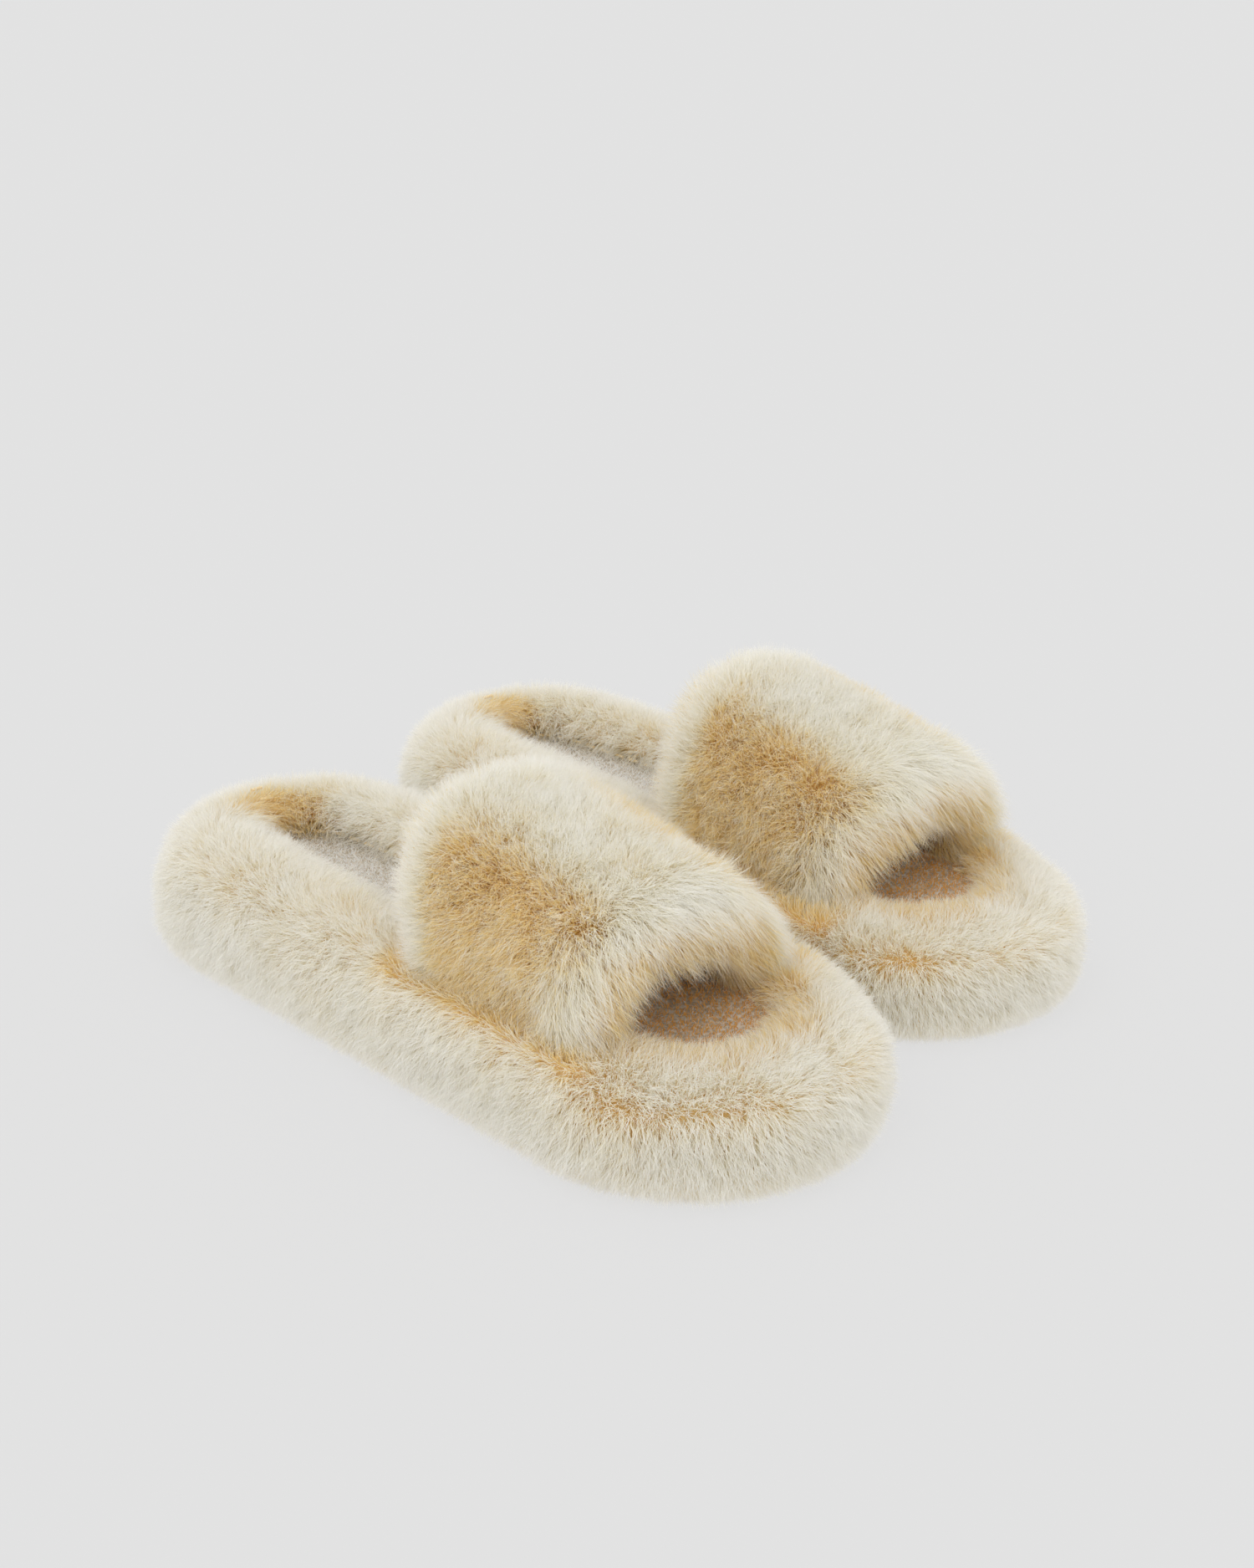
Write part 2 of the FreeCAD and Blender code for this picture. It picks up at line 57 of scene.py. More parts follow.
# ---- node trees ----------------------------------------------------------------------------------
class Wire:
    """An output of a node, on which sums are written as plain arithmetic."""

    def __init__(self, graph: "Graph", socket: bpy.types.NodeSocket) -> None:
        """Args:
            graph: the tree that the output is in.
            socket: the output itself.
        """
        self.graph = graph
        self.socket = socket

    @property
    def is_vector(self) -> bool:
        """Whether the output carries three numbers."""
        return self.socket.type in ("VECTOR", "RGBA")

    def __add__(self, other: "Wire | float") -> "Wire":
        """Sum."""
        return self.graph.combine("ADD", self, other)

    __radd__ = __add__

    def __sub__(self, other: "Wire | float") -> "Wire":
        """Difference."""
        return self.graph.combine("SUBTRACT", self, other)

    def __rsub__(self, other: float) -> "Wire":
        """Difference, the number first."""
        return self.graph.combine("SUBTRACT", other, self)

    def __mul__(self, other: "Wire | float") -> "Wire":
        """Product; a vector and a number scale."""
        return self.graph.combine("MULTIPLY", self, other)

    __rmul__ = __mul__


class Graph:
    """A node tree with short ways to add nodes and join them."""

    def __init__(self, tree: bpy.types.NodeTree) -> None:
        """Args:
            tree: the geometry or shader tree that nodes go into.
        """
        self.tree = tree

    def node(self, kind: str, inputs: dict | None = None, **settings) -> bpy.types.Node:
        """Adds a node.

        Args:
            kind: Blender's name for the node's type.
            inputs: a value or a Wire for each input, by name, identifier or number.
            settings: the node's own properties.

        Returns:
            The new node.
        """
        made = self.tree.nodes.new(kind)
        for key, value in settings.items():
            setattr(made, key, value)
        for key, value in (inputs or {}).items():
            self.feed(self.input_of(made, key), value)
        return made

    @staticmethod
    def input_of(node: bpy.types.Node, key: str | int) -> bpy.types.NodeSocket:
        """Finds an input of a node.

        Args:
            node: the node.
            key: the input's identifier, its name or its number.

        Returns:
            The input.
        """
        if isinstance(key, str):
            for socket in node.inputs:
                if socket.identifier == key:
                    return socket
        return node.inputs[key]

    def feed(self, socket: bpy.types.NodeSocket, value: object) -> None:
        """Links an output to an input, or sets the input's own value.

        Args:
            socket: the input.
            value: a Wire, an output or a plain value.
        """
        if isinstance(value, Wire):
            value = value.socket
        if isinstance(value, bpy.types.NodeSocket):
            self.tree.links.new(value, socket)
        else:
            socket.default_value = value

    def wire(self, kind: str, inputs: dict | None = None, output: str | int = 0, **settings) -> Wire:
        """Adds a node and returns one of its outputs as a Wire."""
        return Wire(self, self.node(kind, inputs, **settings).outputs[output])

    def math(self, operation: str, *values: Wire | float) -> Wire:
        """A Math node."""
        return self.wire("ShaderNodeMath", dict(enumerate(values)), operation=operation)

    def vector(self, operation: str, *values: Wire | tuple) -> Wire:
        """A Vector Math node, and its number where the result is one."""
        output = "Value" if operation in ("DOT_PRODUCT", "LENGTH", "DISTANCE") else "Vector"
        return self.wire("ShaderNodeVectorMath", dict(enumerate(values)), output, operation=operation)

    def combine(self, operation: str, first: Wire | float, second: Wire | float) -> Wire:
        """Plain arithmetic on two values, of which at least one is a Wire.

        Args:
            operation: the node's operation.
            first: the first value.
            second: the second value.

        Returns:
            The result, a vector where either value is one.
        """
        vectors = [isinstance(value, Wire) and value.is_vector for value in (first, second)]
        if not any(vectors):
            return self.math(operation, first, second)
        if operation == "MULTIPLY" and not all(vectors):
            vector, number = (first, second) if vectors[0] else (second, first)
            return self.wire("ShaderNodeVectorMath", {0: vector, "Scale": number}, operation="SCALE")
        return self.vector(operation, first, second)

    def step(self, value: Wire, low: Wire | float, high: Wire | float) -> Wire:
        """Smooth rise from 0 to 1 as a value goes from low to high."""
        return self.wire("ShaderNodeMapRange", {"Value": value, "From Min": low, "From Max": high},
                         "Result", interpolation_type="SMOOTHSTEP")

    def blend(self, share: Wire | float, first: object, second: object) -> Wire:
        """Mixes two colours.

        Args:
            share: how much of the second colour there is.
            first: the first colour.
            second: the second colour.

        Returns:
            The mixed colour.
        """
        mix = self.node("ShaderNodeMix", data_type="RGBA")
        self.feed(mix.inputs[0], share)
        self.feed(mix.inputs[6], first)
        self.feed(mix.inputs[7], second)
        return Wire(self, mix.outputs[2])

    def attribute(self, label: str, kind: str = "FLOAT") -> Wire:
        """A named attribute."""
        return self.wire("GeometryNodeInputNamedAttribute", {"Name": label}, data_type=kind)

    def store(self, geometry: Wire, label: str, value: Wire, kind: str, domain: str = "POINT") -> Wire:
        """The geometry with a named attribute stored on it."""
        return self.wire("GeometryNodeStoreNamedAttribute",
                         {"Geometry": geometry, "Name": label, "Value": value}, data_type=kind, domain=domain)


# ---- finishes ------------------------------------------------------------------------------------
def linear(red: float, green: float, blue: float) -> tuple[float, float, float, float]:
    """Turns a display colour into Blender's scene-linear colour.

    Args:
        red: how much red, from 0 to 255.
        green: how much green.
        blue: how much blue.

    Returns:
        The linear colour, opaque.
    """
    share = np.array([red, green, blue]) / 255
    light = np.where(share <= 0.04045, share / 12.92, ((share + 0.055) / 1.055) ** 2.4)
    return (*light.tolist(), 1.0)


def new_material(name: str) -> tuple[bpy.types.Material, Graph, bpy.types.Node]:
    """An empty node material.

    Args:
        name: the material's name.

    Returns:
        The material, its graph and its output node.
    """
    material = bpy.data.materials.new(LOOK + name)
    material.use_nodes = True
    material.node_tree.nodes.clear()
    graph = Graph(material.node_tree)
    return material, graph, graph.node("ShaderNodeOutputMaterial")


@dataclass(frozen=True)
class PileFinish:
    """Long fur: every strand goes from a dark root to a pale tip, by its own map (U tint, V along)."""

    name: str
    root: tuple
    middle: tuple
    tip: tuple
    roughness: float = 0.68
    through: float = 0.5                 # share of the light that a strand lets through
    gloss: float = 0.12
    reach: float = 0.92                  # how far up the strand its root's colour goes at full tint
    root_fades: tuple = (-0.25, 0.22)    # where along the strand the root's colour fades, from that reach
    tip_starts: tuple = (0.05, 0.62)     # and where the tip's colour comes in

    def build(self) -> bpy.types.Material:
        """Makes the material.

        Returns:
            The material.
        """
        material, graph, output = new_material(self.name)
        place = graph.wire("ShaderNodeUVMap", uv_map=BAKE_MAP)
        parts = graph.node("ShaderNodeSeparateXYZ", {0: place})
        tint, along = Wire(graph, parts.outputs[0]), Wire(graph, parts.outputs[1])
        lift = tint * self.reach
        low = graph.step(along, *(lift + place for place in self.root_fades))
        high = graph.step(along, *(lift + place for place in self.tip_starts))
        colour = graph.blend(high, graph.blend(low, self.root, self.middle), self.tip)
        shine = graph.node("ShaderNodeBsdfPrincipled",
                           {"Base Color": colour, "Roughness": self.roughness,
                            "Specular IOR Level": self.gloss})
        glow = graph.node("ShaderNodeBsdfTranslucent", {"Color": colour})
        both = graph.node("ShaderNodeMixShader", {0: self.through, 1: shine.outputs[0], 2: glow.outputs[0]})
        graph.feed(output.inputs["Surface"], both.outputs[0])
        return material


@dataclass(frozen=True)
class ClothFinish:
    """Cloth, foam, board or rubber: two colours mixed by a fine pattern that also raises the surface."""

    name: str
    dark: tuple
    light: tuple
    scale: float
    stretch: tuple = (1.0, 1.0, 1.0)
    detail: float = 6.0
    roughness: float = 0.85
    depth: float = 0.3
    relief: float = 0.0004
    cells: bool = False
    sheen: float = 0.0
    broad: float = 0.07                  # scale of the broad pattern, as a share of the fine one's
    mix: tuple = (0.75, 0.35)            # how much the fine and the broad pattern count
    limits: tuple = (0.3, 0.8)           # where their sum is all dark and all light
    uneven: float = 0.12                 # how much rougher the light places are

    def build(self) -> bpy.types.Material:
        """Makes the material.

        Returns:
            The material.
        """
        material, graph, output = new_material(self.name)
        place = graph.wire("ShaderNodeTexCoord", output="Object")
        place = graph.wire("ShaderNodeMapping", {"Vector": place, "Scale": self.stretch})
        broad = graph.wire("ShaderNodeTexNoise",
                           {"Vector": place, "Scale": self.scale * self.broad, "Detail": 3.0})
        if self.cells:
            fine = graph.wire("ShaderNodeTexVoronoi", {"Vector": place, "Scale": self.scale})
        else:
            fine = graph.wire("ShaderNodeTexNoise",
                              {"Vector": place, "Scale": self.scale, "Detail": self.detail, "Roughness": 0.6})
        share = graph.step(fine * self.mix[0] + broad * self.mix[1], *self.limits)
        colour = graph.blend(share, self.dark, self.light)
        bump = graph.node("ShaderNodeBump", {"Height": fine, "Strength": self.depth, "Distance": self.relief})
        rough = share * self.uneven + (self.roughness - self.uneven / 2)
        shader = graph.node("ShaderNodeBsdfPrincipled",
                            {"Base Color": colour, "Roughness": rough, "Normal": bump.outputs[0],
                             "Sheen Weight": self.sheen})
        graph.feed(output.inputs["Surface"], shader.outputs[0])
        return material


class Finish(Enum):
    """The finishes of the pair, one for each of the record's material slots and their backings."""

    CREAM_FUR = PileFinish("cream_fur", linear(250, 233, 180), linear(252, 249, 236), linear(253, 252, 248))
    FUR_BACKING = ClothFinish("fur_backing", linear(220, 184, 116), linear(240, 212, 156), 900, relief=0.0006)
    # its root colour is painted shade: the brown that the loops show towards the toes, under the band
    TERRY_LOOPS = PileFinish("terry_loops", linear(238, 192, 118), linear(240, 240, 238),
                             linear(250, 251, 252), roughness=0.8, reach=1.3)
    TERRY = ClothFinish("terry", linear(176, 164, 144), linear(214, 208, 198), 700, cells=True, sheen=0.2)
    PLUSH_PILE = PileFinish("plush_pile", linear(180, 124, 62), linear(216, 166, 98), linear(236, 196, 136),
                            roughness=0.8)
    PLUSH = ClothFinish("plush", linear(112, 84, 52), linear(170, 138, 96), 800, sheen=0.3)
    RUBBER = ClothFinish("rubber", linear(150, 140, 120), linear(176, 166, 146), 500, roughness=0.6,
                         depth=0.15)
    EVA = ClothFinish("eva", linear(214, 208, 196), linear(238, 234, 226), 900, cells=True, depth=0.12)
    SOFT_FOAM = ClothFinish("soft_foam", linear(214, 200, 160), linear(240, 230, 200), 1200, cells=True)
    BOARD = ClothFinish("board", linear(140, 126, 104), linear(188, 176, 152), 300, stretch=(1.0, 0.15, 1.0))
    THREAD = ClothFinish("thread", linear(228, 204, 156), linear(246, 230, 194), 2400,
                         stretch=(1.0, 1.0, 0.3))

    def material(self) -> bpy.types.Material:
        """The finish's material, made the first time it is asked for."""
        return bpy.data.materials.get(LOOK + self.value.name) or self.value.build()


# ---- shapes --------------------------------------------------------------------------------------
def smooth_step(value: np.ndarray | float, low: float, high: float) -> np.ndarray | float:
    """Smooth rise from 0 to 1 as a value goes from low to high, which may be the other way round."""
    share = np.clip((value - low) / (high - low), 0.0, 1.0)
    return share * share * (3 - 2 * share)


def bell(value: np.ndarray | float, centre: float, width: float) -> np.ndarray | float:
    """Smooth hump of height 1 about a centre."""
    return np.exp(-((value - centre) / width) ** 2)


def cut_corners(points: np.ndarray, rounds: int = 2) -> np.ndarray:
    """Smooths a closed loop of points by cutting its corners.

    Args:
        points: one row a point, with any number of columns.
        rounds: how often every corner is cut.

    Returns:
        The smoother loop, with twice the points for each round.
    """
    for _ in range(rounds):
        after = np.roll(points, -1, axis=0)
        points = np.stack([points * 0.75 + after * 0.25, points * 0.25 + after * 0.75], 1)
        points = points.reshape(-1, points.shape[-1])
    return points


def waves(places: np.ndarray, scale: float, seed: float) -> np.ndarray:
    """Smooth noise at places, as a vector about zero for each.

    Args:
        places: one row a point, in metres.
        scale: size of the noise's swells, in metres.
        seed: moves the noise, so that two calls differ.

    Returns:
        One row of three numbers for each place.
    """
    noise.seed_set(NOISE_SEED)
    shift = Vector((seed, seed * 2, 0))
    return np.array([noise.noise_vector(Vector(place) / scale + shift) for place in places])


@dataclass(frozen=True)
class Outline:
    """The slipper's outline over the fur: heel arc, forefoot arc and the two sides tangent to both."""

    heel: np.ndarray
    toe: np.ndarray
    heel_radius: float
    toe_radius: float

    def ring(self, count: int) -> tuple[np.ndarray, np.ndarray]:
        """Evenly spaced points round the outline, from the middle of the heel and first towards -X.

        Args:
            count: number of points.

        Returns:
            The points and the outward directions there, each with two columns.
        """
        axis = self.toe - self.heel
        length = float(np.hypot(*axis))
        heading = math.atan2(axis[1], axis[0])
        spread = math.acos((self.heel_radius - self.toe_radius) / length)
        start, low, high = math.pi / 2, heading - spread + 2 * math.pi, heading + spread + 2 * math.pi
        run = math.sqrt(length ** 2 - (self.heel_radius - self.toe_radius) ** 2)
        spans = np.array([(low - start) * self.heel_radius, run, (high - low) * self.toe_radius, run,
                          (start + 2 * math.pi - high) * self.heel_radius])
        ends = np.cumsum(spans)
        points, normals = [], []
        for reach in np.arange(count) / count * ends[-1]:
            span = int(np.searchsorted(ends, reach, side="right"))
            into = reach - (ends[span] - spans[span])
            if span in (1, 3):
                angle = low if span == 1 else high
                share = into / run if span == 1 else 1 - into / run
                centre = self.heel + axis * share
                radius = self.heel_radius + (self.toe_radius - self.heel_radius) * share
            elif span == 2:
                angle, centre, radius = low + into / self.toe_radius, self.toe, self.toe_radius
            else:
                angle = (start if span == 0 else high) + into / self.heel_radius
                centre, radius = self.heel, self.heel_radius
            normal = np.array([math.cos(angle), math.sin(angle)])
            points.append(centre + normal * radius)
            normals.append(normal)
        return np.array(points), np.array(normals)


@dataclass
class Skin:
    """A closed backing on which fur grows: a grid of points and what the fur does at each."""

    points: np.ndarray                   # rows, columns, 3
    bare: np.ndarray                     # 0 where no fur grows, 1 where it is dense
    closed_rows: bool
    comb: np.ndarray | None = None       # the way the fur lies, a vector for each point
    pile: np.ndarray | None = None       # how long it is
    tint: np.ndarray | None = None       # how much of its roots' colour shows, in places as painted shade
    normals: np.ndarray | None = None

    def faces(self) -> list[tuple[int, ...]]:
        """Lists the faces of the grid, with a cap at each end if the rows aren't a loop.

        Returns:
            The corners of each face, as numbers of points.
        """
        rows, columns = self.points.shape[:2]
        last = rows if self.closed_rows else rows - 1
        quads = []
        for row in range(last):
            after = (row + 1) % rows
            for column in range(columns):
                beside = (column + 1) % columns
                quads.append((row * columns + column, row * columns + beside,
                              after * columns + beside, after * columns + column))
        if not self.closed_rows:
            quads.append(tuple(reversed(range(columns))))
            quads.append(tuple((rows - 1) * columns + column for column in range(columns)))
        return quads

    def mesh(self, name: str) -> bpy.types.Object:
        """Makes the backing's mesh, its faces outwards, and reads its normals.

        Args:
            name: the piece's name.

        Returns:
            The backing.
        """
        mesh = bpy.data.meshes.new(name)
        mesh.from_pydata(self.points.reshape(-1, 3).tolist(), [], self.faces())
        mesh.update()
        if volume_of(mesh) < 0:
            mesh.flip_normals()
        mesh.shade_smooth()
        found = np.empty(len(mesh.vertices) * 3)
        mesh.vertex_normals.foreach_get("vector", found)
        self.normals = found.reshape(self.points.shape)
        obj = bpy.data.objects.new(name, mesh)
        bpy.context.scene.collection.objects.link(obj)
        return obj

    def emitter(self, name: str, rows: np.ndarray) -> bpy.types.Object:
        """A helper mesh of some rows of the grid, which carries what the fur needs at each point.

        Args:
            name: the helper's name.
            rows: numbers of the rows, in order and side by side.

        Returns:
            The helper object.
        """
        columns = self.points.shape[1]
        mesh = bpy.data.meshes.new(name)
        faces = [(row * columns + column, row * columns + (column + 1) % columns,
                  (row + 1) * columns + (column + 1) % columns, (row + 1) * columns + column)
                 for row in range(len(rows) - 1) for column in range(columns)]
        mesh.from_pydata(self.points[rows].reshape(-1, 3).tolist(), [], faces)
        for label, kind, data in (("rise", "FLOAT_VECTOR", self.normals), ("comb", "FLOAT_VECTOR", self.comb),
                                  ("pile", "FLOAT", self.pile), ("tint", "FLOAT", self.tint),
                                  ("cover", "FLOAT", self.bare)):
            layer = mesh.attributes.new(label, kind, "POINT")
            values = np.ascontiguousarray(data[rows], dtype=np.float32).ravel()
            layer.data.foreach_set("vector" if kind == "FLOAT_VECTOR" else "value", values)
        obj = bpy.data.objects.new(name, mesh)
        bpy.context.scene.collection.objects.link(obj)
        return obj

    def area(self, rows: np.ndarray) -> float:
        """Measures some rows of the grid, weighted by how dense the fur is there.

        Args:
            rows: numbers of the rows, in order and side by side.

        Returns:
            The area in square metres.
        """
        grid, cover = self.points[rows], self.bare[rows]
        along = grid[1:] - grid[:-1]
        across = np.roll(grid, -1, axis=1) - grid
        cells = np.linalg.norm(np.cross(along, across[:-1]), axis=-1)
        return float((cells * cover[:-1]).sum())

    def lay(self, flow: np.ndarray) -> np.ndarray:
        """The part of a flow that runs along the surface."""
        return flow - self.normals * (flow * self.normals).sum(-1, keepdims=True)


def volume_of(mesh: bpy.types.Mesh) -> float:
    """Measures a closed mesh.

    Args:
        mesh: the mesh.

    Returns:
        Its volume, below zero if its faces point inwards.
    """
    mesh.calc_loop_triangles()
    corners = np.array([[mesh.vertices[index].co[:] for index in triangle.vertices]
                        for triangle in mesh.loop_triangles])
    return float(np.einsum("ij,ij->i", corners[:, 0], np.cross(corners[:, 1], corners[:, 2])).sum() / 6)


# ---- fur -----------------------------------------------------------------------------------------
@dataclass(frozen=True)
class FurCut:
    """How a fur is cut and lies. Each size here is a named input of the fur's node tree."""

    strand_width: float = 0.25 * MM
    tuft_size: float = 2.8 * MM
    tuft_pull: float = 0.42              # how far the tips in a tuft come together
    spread: float = 0.40                 # how much each strand strays by itself
    swirl: float = 0.22                  # how much broad swirls turn the fur
    swirl_size: float = 30 * MM
    ruffle: float = 0.26                 # how much small ruffles turn it
    ruffle_size: float = 9 * MM
    droop: float = 0.05
    floor: float = 0.6 * MM              # no strand goes lower than this


def spoken(label: str) -> str:
    """A field's name as the words on a node's input."""
    return label.replace("_", " ").title()


class FurSystem:
    """Grows strands on a helper mesh with Geometry Nodes, and hands them back as a plain mesh."""

    INPUTS = {"Density": "NodeSocketFloat", "Seed": "NodeSocketInt", "Strand": "NodeSocketObject",
              "Finish": "NodeSocketMaterial",
              **{spoken(size.name): "NodeSocketFloat" for size in fields(FurCut)}}
    LENGTHS = (0.78, 1.08)               # a strand's length, as shares of the pile
    TUFT_LENGTHS = (0.89, 0.22)          # that of a short tuft, and how much more a tall one has
    ROOT_LEAN, TIP_LEAN = 0.35, 0.62     # shares of the flow in the two halves of a strand's bend
    TIP_SINK = 0.42                      # how far a leaning strand's tip comes down
    SWELL_GAIN = 4.0
    TINTS = (0.3, 1.7)                   # a strand's tint, as shares of the skin's
    TUFT_TINT = 0.6                      # how much it differs from tuft to tuft
    TAPER = 0.5
    MAP_MARGIN, MAP_WIDTH = 0.02, 0.001  # room round the blade's map, and half its width there
    SOFTNESS = 800.0                     # how much a blade's own breadth turns its shading

    def __init__(self) -> None:
        """Makes the strand and the node tree that every fur shares."""
        self.strand = self.make_strand()
        self.tree = bpy.data.node_groups.new("fur", "GeometryNodeTree")
        self.build_tree()

    @staticmethod
    def make_strand() -> bpy.types.Object:
        """Makes one strand: a narrow blade whose points know how far along and to which side they are.

        Returns:
            The strand.
        """
        mesh = bpy.data.meshes.new("strand")
        sides, alongs = (-1.0, 1.0, 1.0, -1.0, 0.0), (0.0, 0.0, 0.5, 0.5, 1.0)
        mesh.from_pydata([(side * MM, 0, along * MM) for side, along in zip(sides, alongs)], [],
                         [(0, 1, 2, 3), (3, 2, 4)])
        for label, values in (("side", sides), ("along", alongs)):
            mesh.attributes.new(label, "FLOAT", "POINT").data.foreach_set("value", values)
        return bpy.data.objects.new("strand", mesh)

    def build_tree(self) -> None:
        """Builds the tree: scatter roots, bend a strand at each, place its blade, then map and dress it."""
        interface = self.tree.interface
        interface.new_socket("Geometry", in_out="INPUT", socket_type="NodeSocketGeometry")
        for label, kind in self.INPUTS.items():
            interface.new_socket(label, in_out="INPUT", socket_type=kind)
        interface.new_socket("Geometry", in_out="OUTPUT", socket_type="NodeSocketGeometry")
        graph = Graph(self.tree)
        given = graph.node("NodeGroupInput")
        size = {label: Wire(graph, given.outputs[label]) for label in self.INPUTS}
        density = size["Density"] * graph.attribute("cover")
        roots = graph.wire("GeometryNodeDistributePointsOnFaces",
                           {"Mesh": given.outputs["Geometry"], "Density": density, "Seed": size["Seed"]},
                           "Points")
        blades = self.place_blades(graph, size, self.bend_strands(graph, size, roots))
        graph.node("NodeGroupOutput", {0: self.dress_blades(graph, size, blades)})

    def bend_strands(self, graph: Graph, size: dict[str, Wire], points: Wire) -> Wire:
        """Works out how the strand at each root bends, and how much of its root's colour shows.

        Args:
            graph: the tree.
            size: the tree's inputs.
            points: the roots.

        Returns:
            The roots, which carry what place_blades needs.
        """
        def seed(offset: int) -> Wire:
            """A seed of its own for each random value."""
            return size["Seed"] + float(offset)

        def chance(low: float, high: float, offset: int) -> Wire:
            """A random number for each strand."""
            return graph.wire("FunctionNodeRandomValue",
                              {"Min_001": low, "Max_001": high, "Seed": seed(offset)}, 1)

        def scatter(offset: int) -> Wire:
            """Picks a random direction for each strand.

            Args:
                offset: sets this value's seed apart.

            Returns:
                The direction, not of even length.
            """
            return graph.wire("FunctionNodeRandomValue",
                              {"Min": (-1.0, -1.0, -1.0), "Max": (1.0, 1.0, 1.0), "Seed": seed(offset)}, 0,
                              data_type="FLOAT_VECTOR")

        def swell(scale: Wire, detail: float) -> Wire:
            """Makes a flow that changes slowly over the surface.

            Args:
                scale: the size of its swells.
                detail: how many finer swells lie on them.

            Returns:
                The flow.
            """
            frequency = graph.math("DIVIDE", 1.0, scale)
            colour = graph.wire("ShaderNodeTexNoise",
                                {"Vector": root, "Scale": frequency, "Detail": detail}, "Color")
            return graph.vector("SUBTRACT", colour, (0.5, 0.5, 0.5)) * self.SWELL_GAIN

        def along_skin(flow: Wire) -> Wire:
            """The part of a flow that runs along the surface."""
            return flow - rise * graph.vector("DOT_PRODUCT", flow, rise)

        root = graph.wire("GeometryNodeInputPosition")
        rise = graph.vector("NORMALIZE", graph.attribute("rise", "FLOAT_VECTOR"))
        tuft = graph.node("ShaderNodeTexVoronoi",
                          {"Vector": root, "Scale": graph.math("DIVIDE", 1.0, size["Tuft Size"])})
        tuft_tall, tuft_tint = (Wire(graph, output) for output in graph.node(
            "ShaderNodeSeparateXYZ", {0: tuft.outputs["Color"]}).outputs[:2])
        length = (graph.attribute("pile") * chance(*self.LENGTHS, 1)
                  * (tuft_tall * self.TUFT_LENGTHS[1] + self.TUFT_LENGTHS[0]))
        flow = along_skin(graph.attribute("comb", "FLOAT_VECTOR")
                          + swell(size["Swirl Size"], 2.0) * size["Swirl"]
                          + swell(size["Ruffle Size"], 1.0) * size["Ruffle"]
                          + scatter(2) * size["Spread"])
        lean = graph.vector("LENGTH", flow)
        flow = flow * graph.math("DIVIDE", 1.0, graph.math("MAXIMUM", lean, 1.0))
        lean = graph.math("MINIMUM", lean, 1.0)
        pull = along_skin(Wire(graph, tuft.outputs["Position"]) - root) * size["Tuft Pull"]
        start = (rise + flow * self.ROOT_LEAN) * length
        bend = (flow * self.TIP_LEAN - rise * (lean * self.TIP_SINK)) * length + pull
        bend = bend + graph.wire("ShaderNodeCombineXYZ", {"Z": length * size["Droop"] * -1.0})
        heading = graph.vector("NORMALIZE", start + bend)
        breadth = graph.vector("NORMALIZE", graph.vector("CROSS_PRODUCT", heading, scatter(3)))
        facing = graph.vector("CROSS_PRODUCT", breadth, heading)
        outward = graph.math("SIGN", graph.vector("DOT_PRODUCT", facing, rise))
        breadth = breadth * outward * (size["Strand Width"] * 0.5)
        shade = graph.wire("ShaderNodeClamp", {"Value": graph.attribute("tint") * (
            chance(*self.TINTS, 4) + (tuft_tint - 0.5) * self.TUFT_TINT)})
        for label, value in (("start", start), ("bend", bend), ("breadth", breadth), ("root", root)):
            points = graph.store(points, label, value, "FLOAT_VECTOR")
        return graph.store(points, "shade", shade, "FLOAT")

    def place_blades(self, graph: Graph, size: dict[str, Wire], points: Wire) -> Wire:
        """Puts a blade at each root and bends it.

        Args:
            graph: the tree.
            size: the tree's inputs.
            points: the roots, with what bend_strands has worked out.

        Returns:
            The blades, as one mesh.
        """
        strand = graph.wire("GeometryNodeObjectInfo", {"Object": size["Strand"]}, "Geometry")
        copies = graph.wire("GeometryNodeInstanceOnPoints", {"Points": points, "Instance": strand})
        blades = graph.wire("GeometryNodeRealizeInstances", {"Geometry": copies})
        along, side = graph.attribute("along"), graph.attribute("side")
        root, start, bend, breadth = (graph.attribute(label, "FLOAT_VECTOR")
                                      for label in ("root", "start", "bend", "breadth"))
        place = root + start * along + bend * (along * along) + breadth * (side * (1.0 - along * self.TAPER))
        parts = graph.node("ShaderNodeSeparateXYZ", {0: place})
        above = graph.math("MAXIMUM", Wire(graph, parts.outputs[2]), size["Floor"])
        place = graph.wire("ShaderNodeCombineXYZ", {0: parts.outputs[0], 1: parts.outputs[1], 2: above})
        return graph.wire("GeometryNodeSetPosition", {"Geometry": blades, "Position": place})

    def dress_blades(self, graph: Graph, size: dict[str, Wire], blades: Wire) -> Wire:
        """Maps the blades, softens their shading, clears what they carry and gives them their finish.

        Args:
            graph: the tree.
            size: the tree's inputs.
            blades: the bent blades.

        Returns:
            The finished fur.
        """
        room = 1 - 2 * self.MAP_MARGIN
        across = graph.attribute("shade") * room + self.MAP_MARGIN + graph.attribute("side") * self.MAP_WIDTH
        spot = graph.wire("ShaderNodeCombineXYZ",
                          {0: across, 1: graph.attribute("along") * room + self.MAP_MARGIN})
        blades = graph.store(blades, BAKE_MAP, spot, "FLOAT2", "CORNER")
        soft = graph.vector("NORMALIZE", graph.attribute("rise", "FLOAT_VECTOR")
                            + graph.attribute("breadth", "FLOAT_VECTOR") * self.SOFTNESS)
        shaded = graph.node("GeometryNodeSetMeshNormal", {"Mesh": blades}, mode="FREE", domain="POINT")
        graph.feed(shaded.inputs["Custom Normal"], soft)
        for label in ("start", "bend", "breadth", "shade", "root", "rise", "comb", "pile", "tint", "cover",
                      "along", "side"):
            shaded = graph.node("GeometryNodeRemoveAttribute", {0: shaded.outputs[0], "Name": label})
        return graph.wire("GeometryNodeSetMaterial",
                          {"Geometry": shaded.outputs[0], "Material": size["Finish"]})

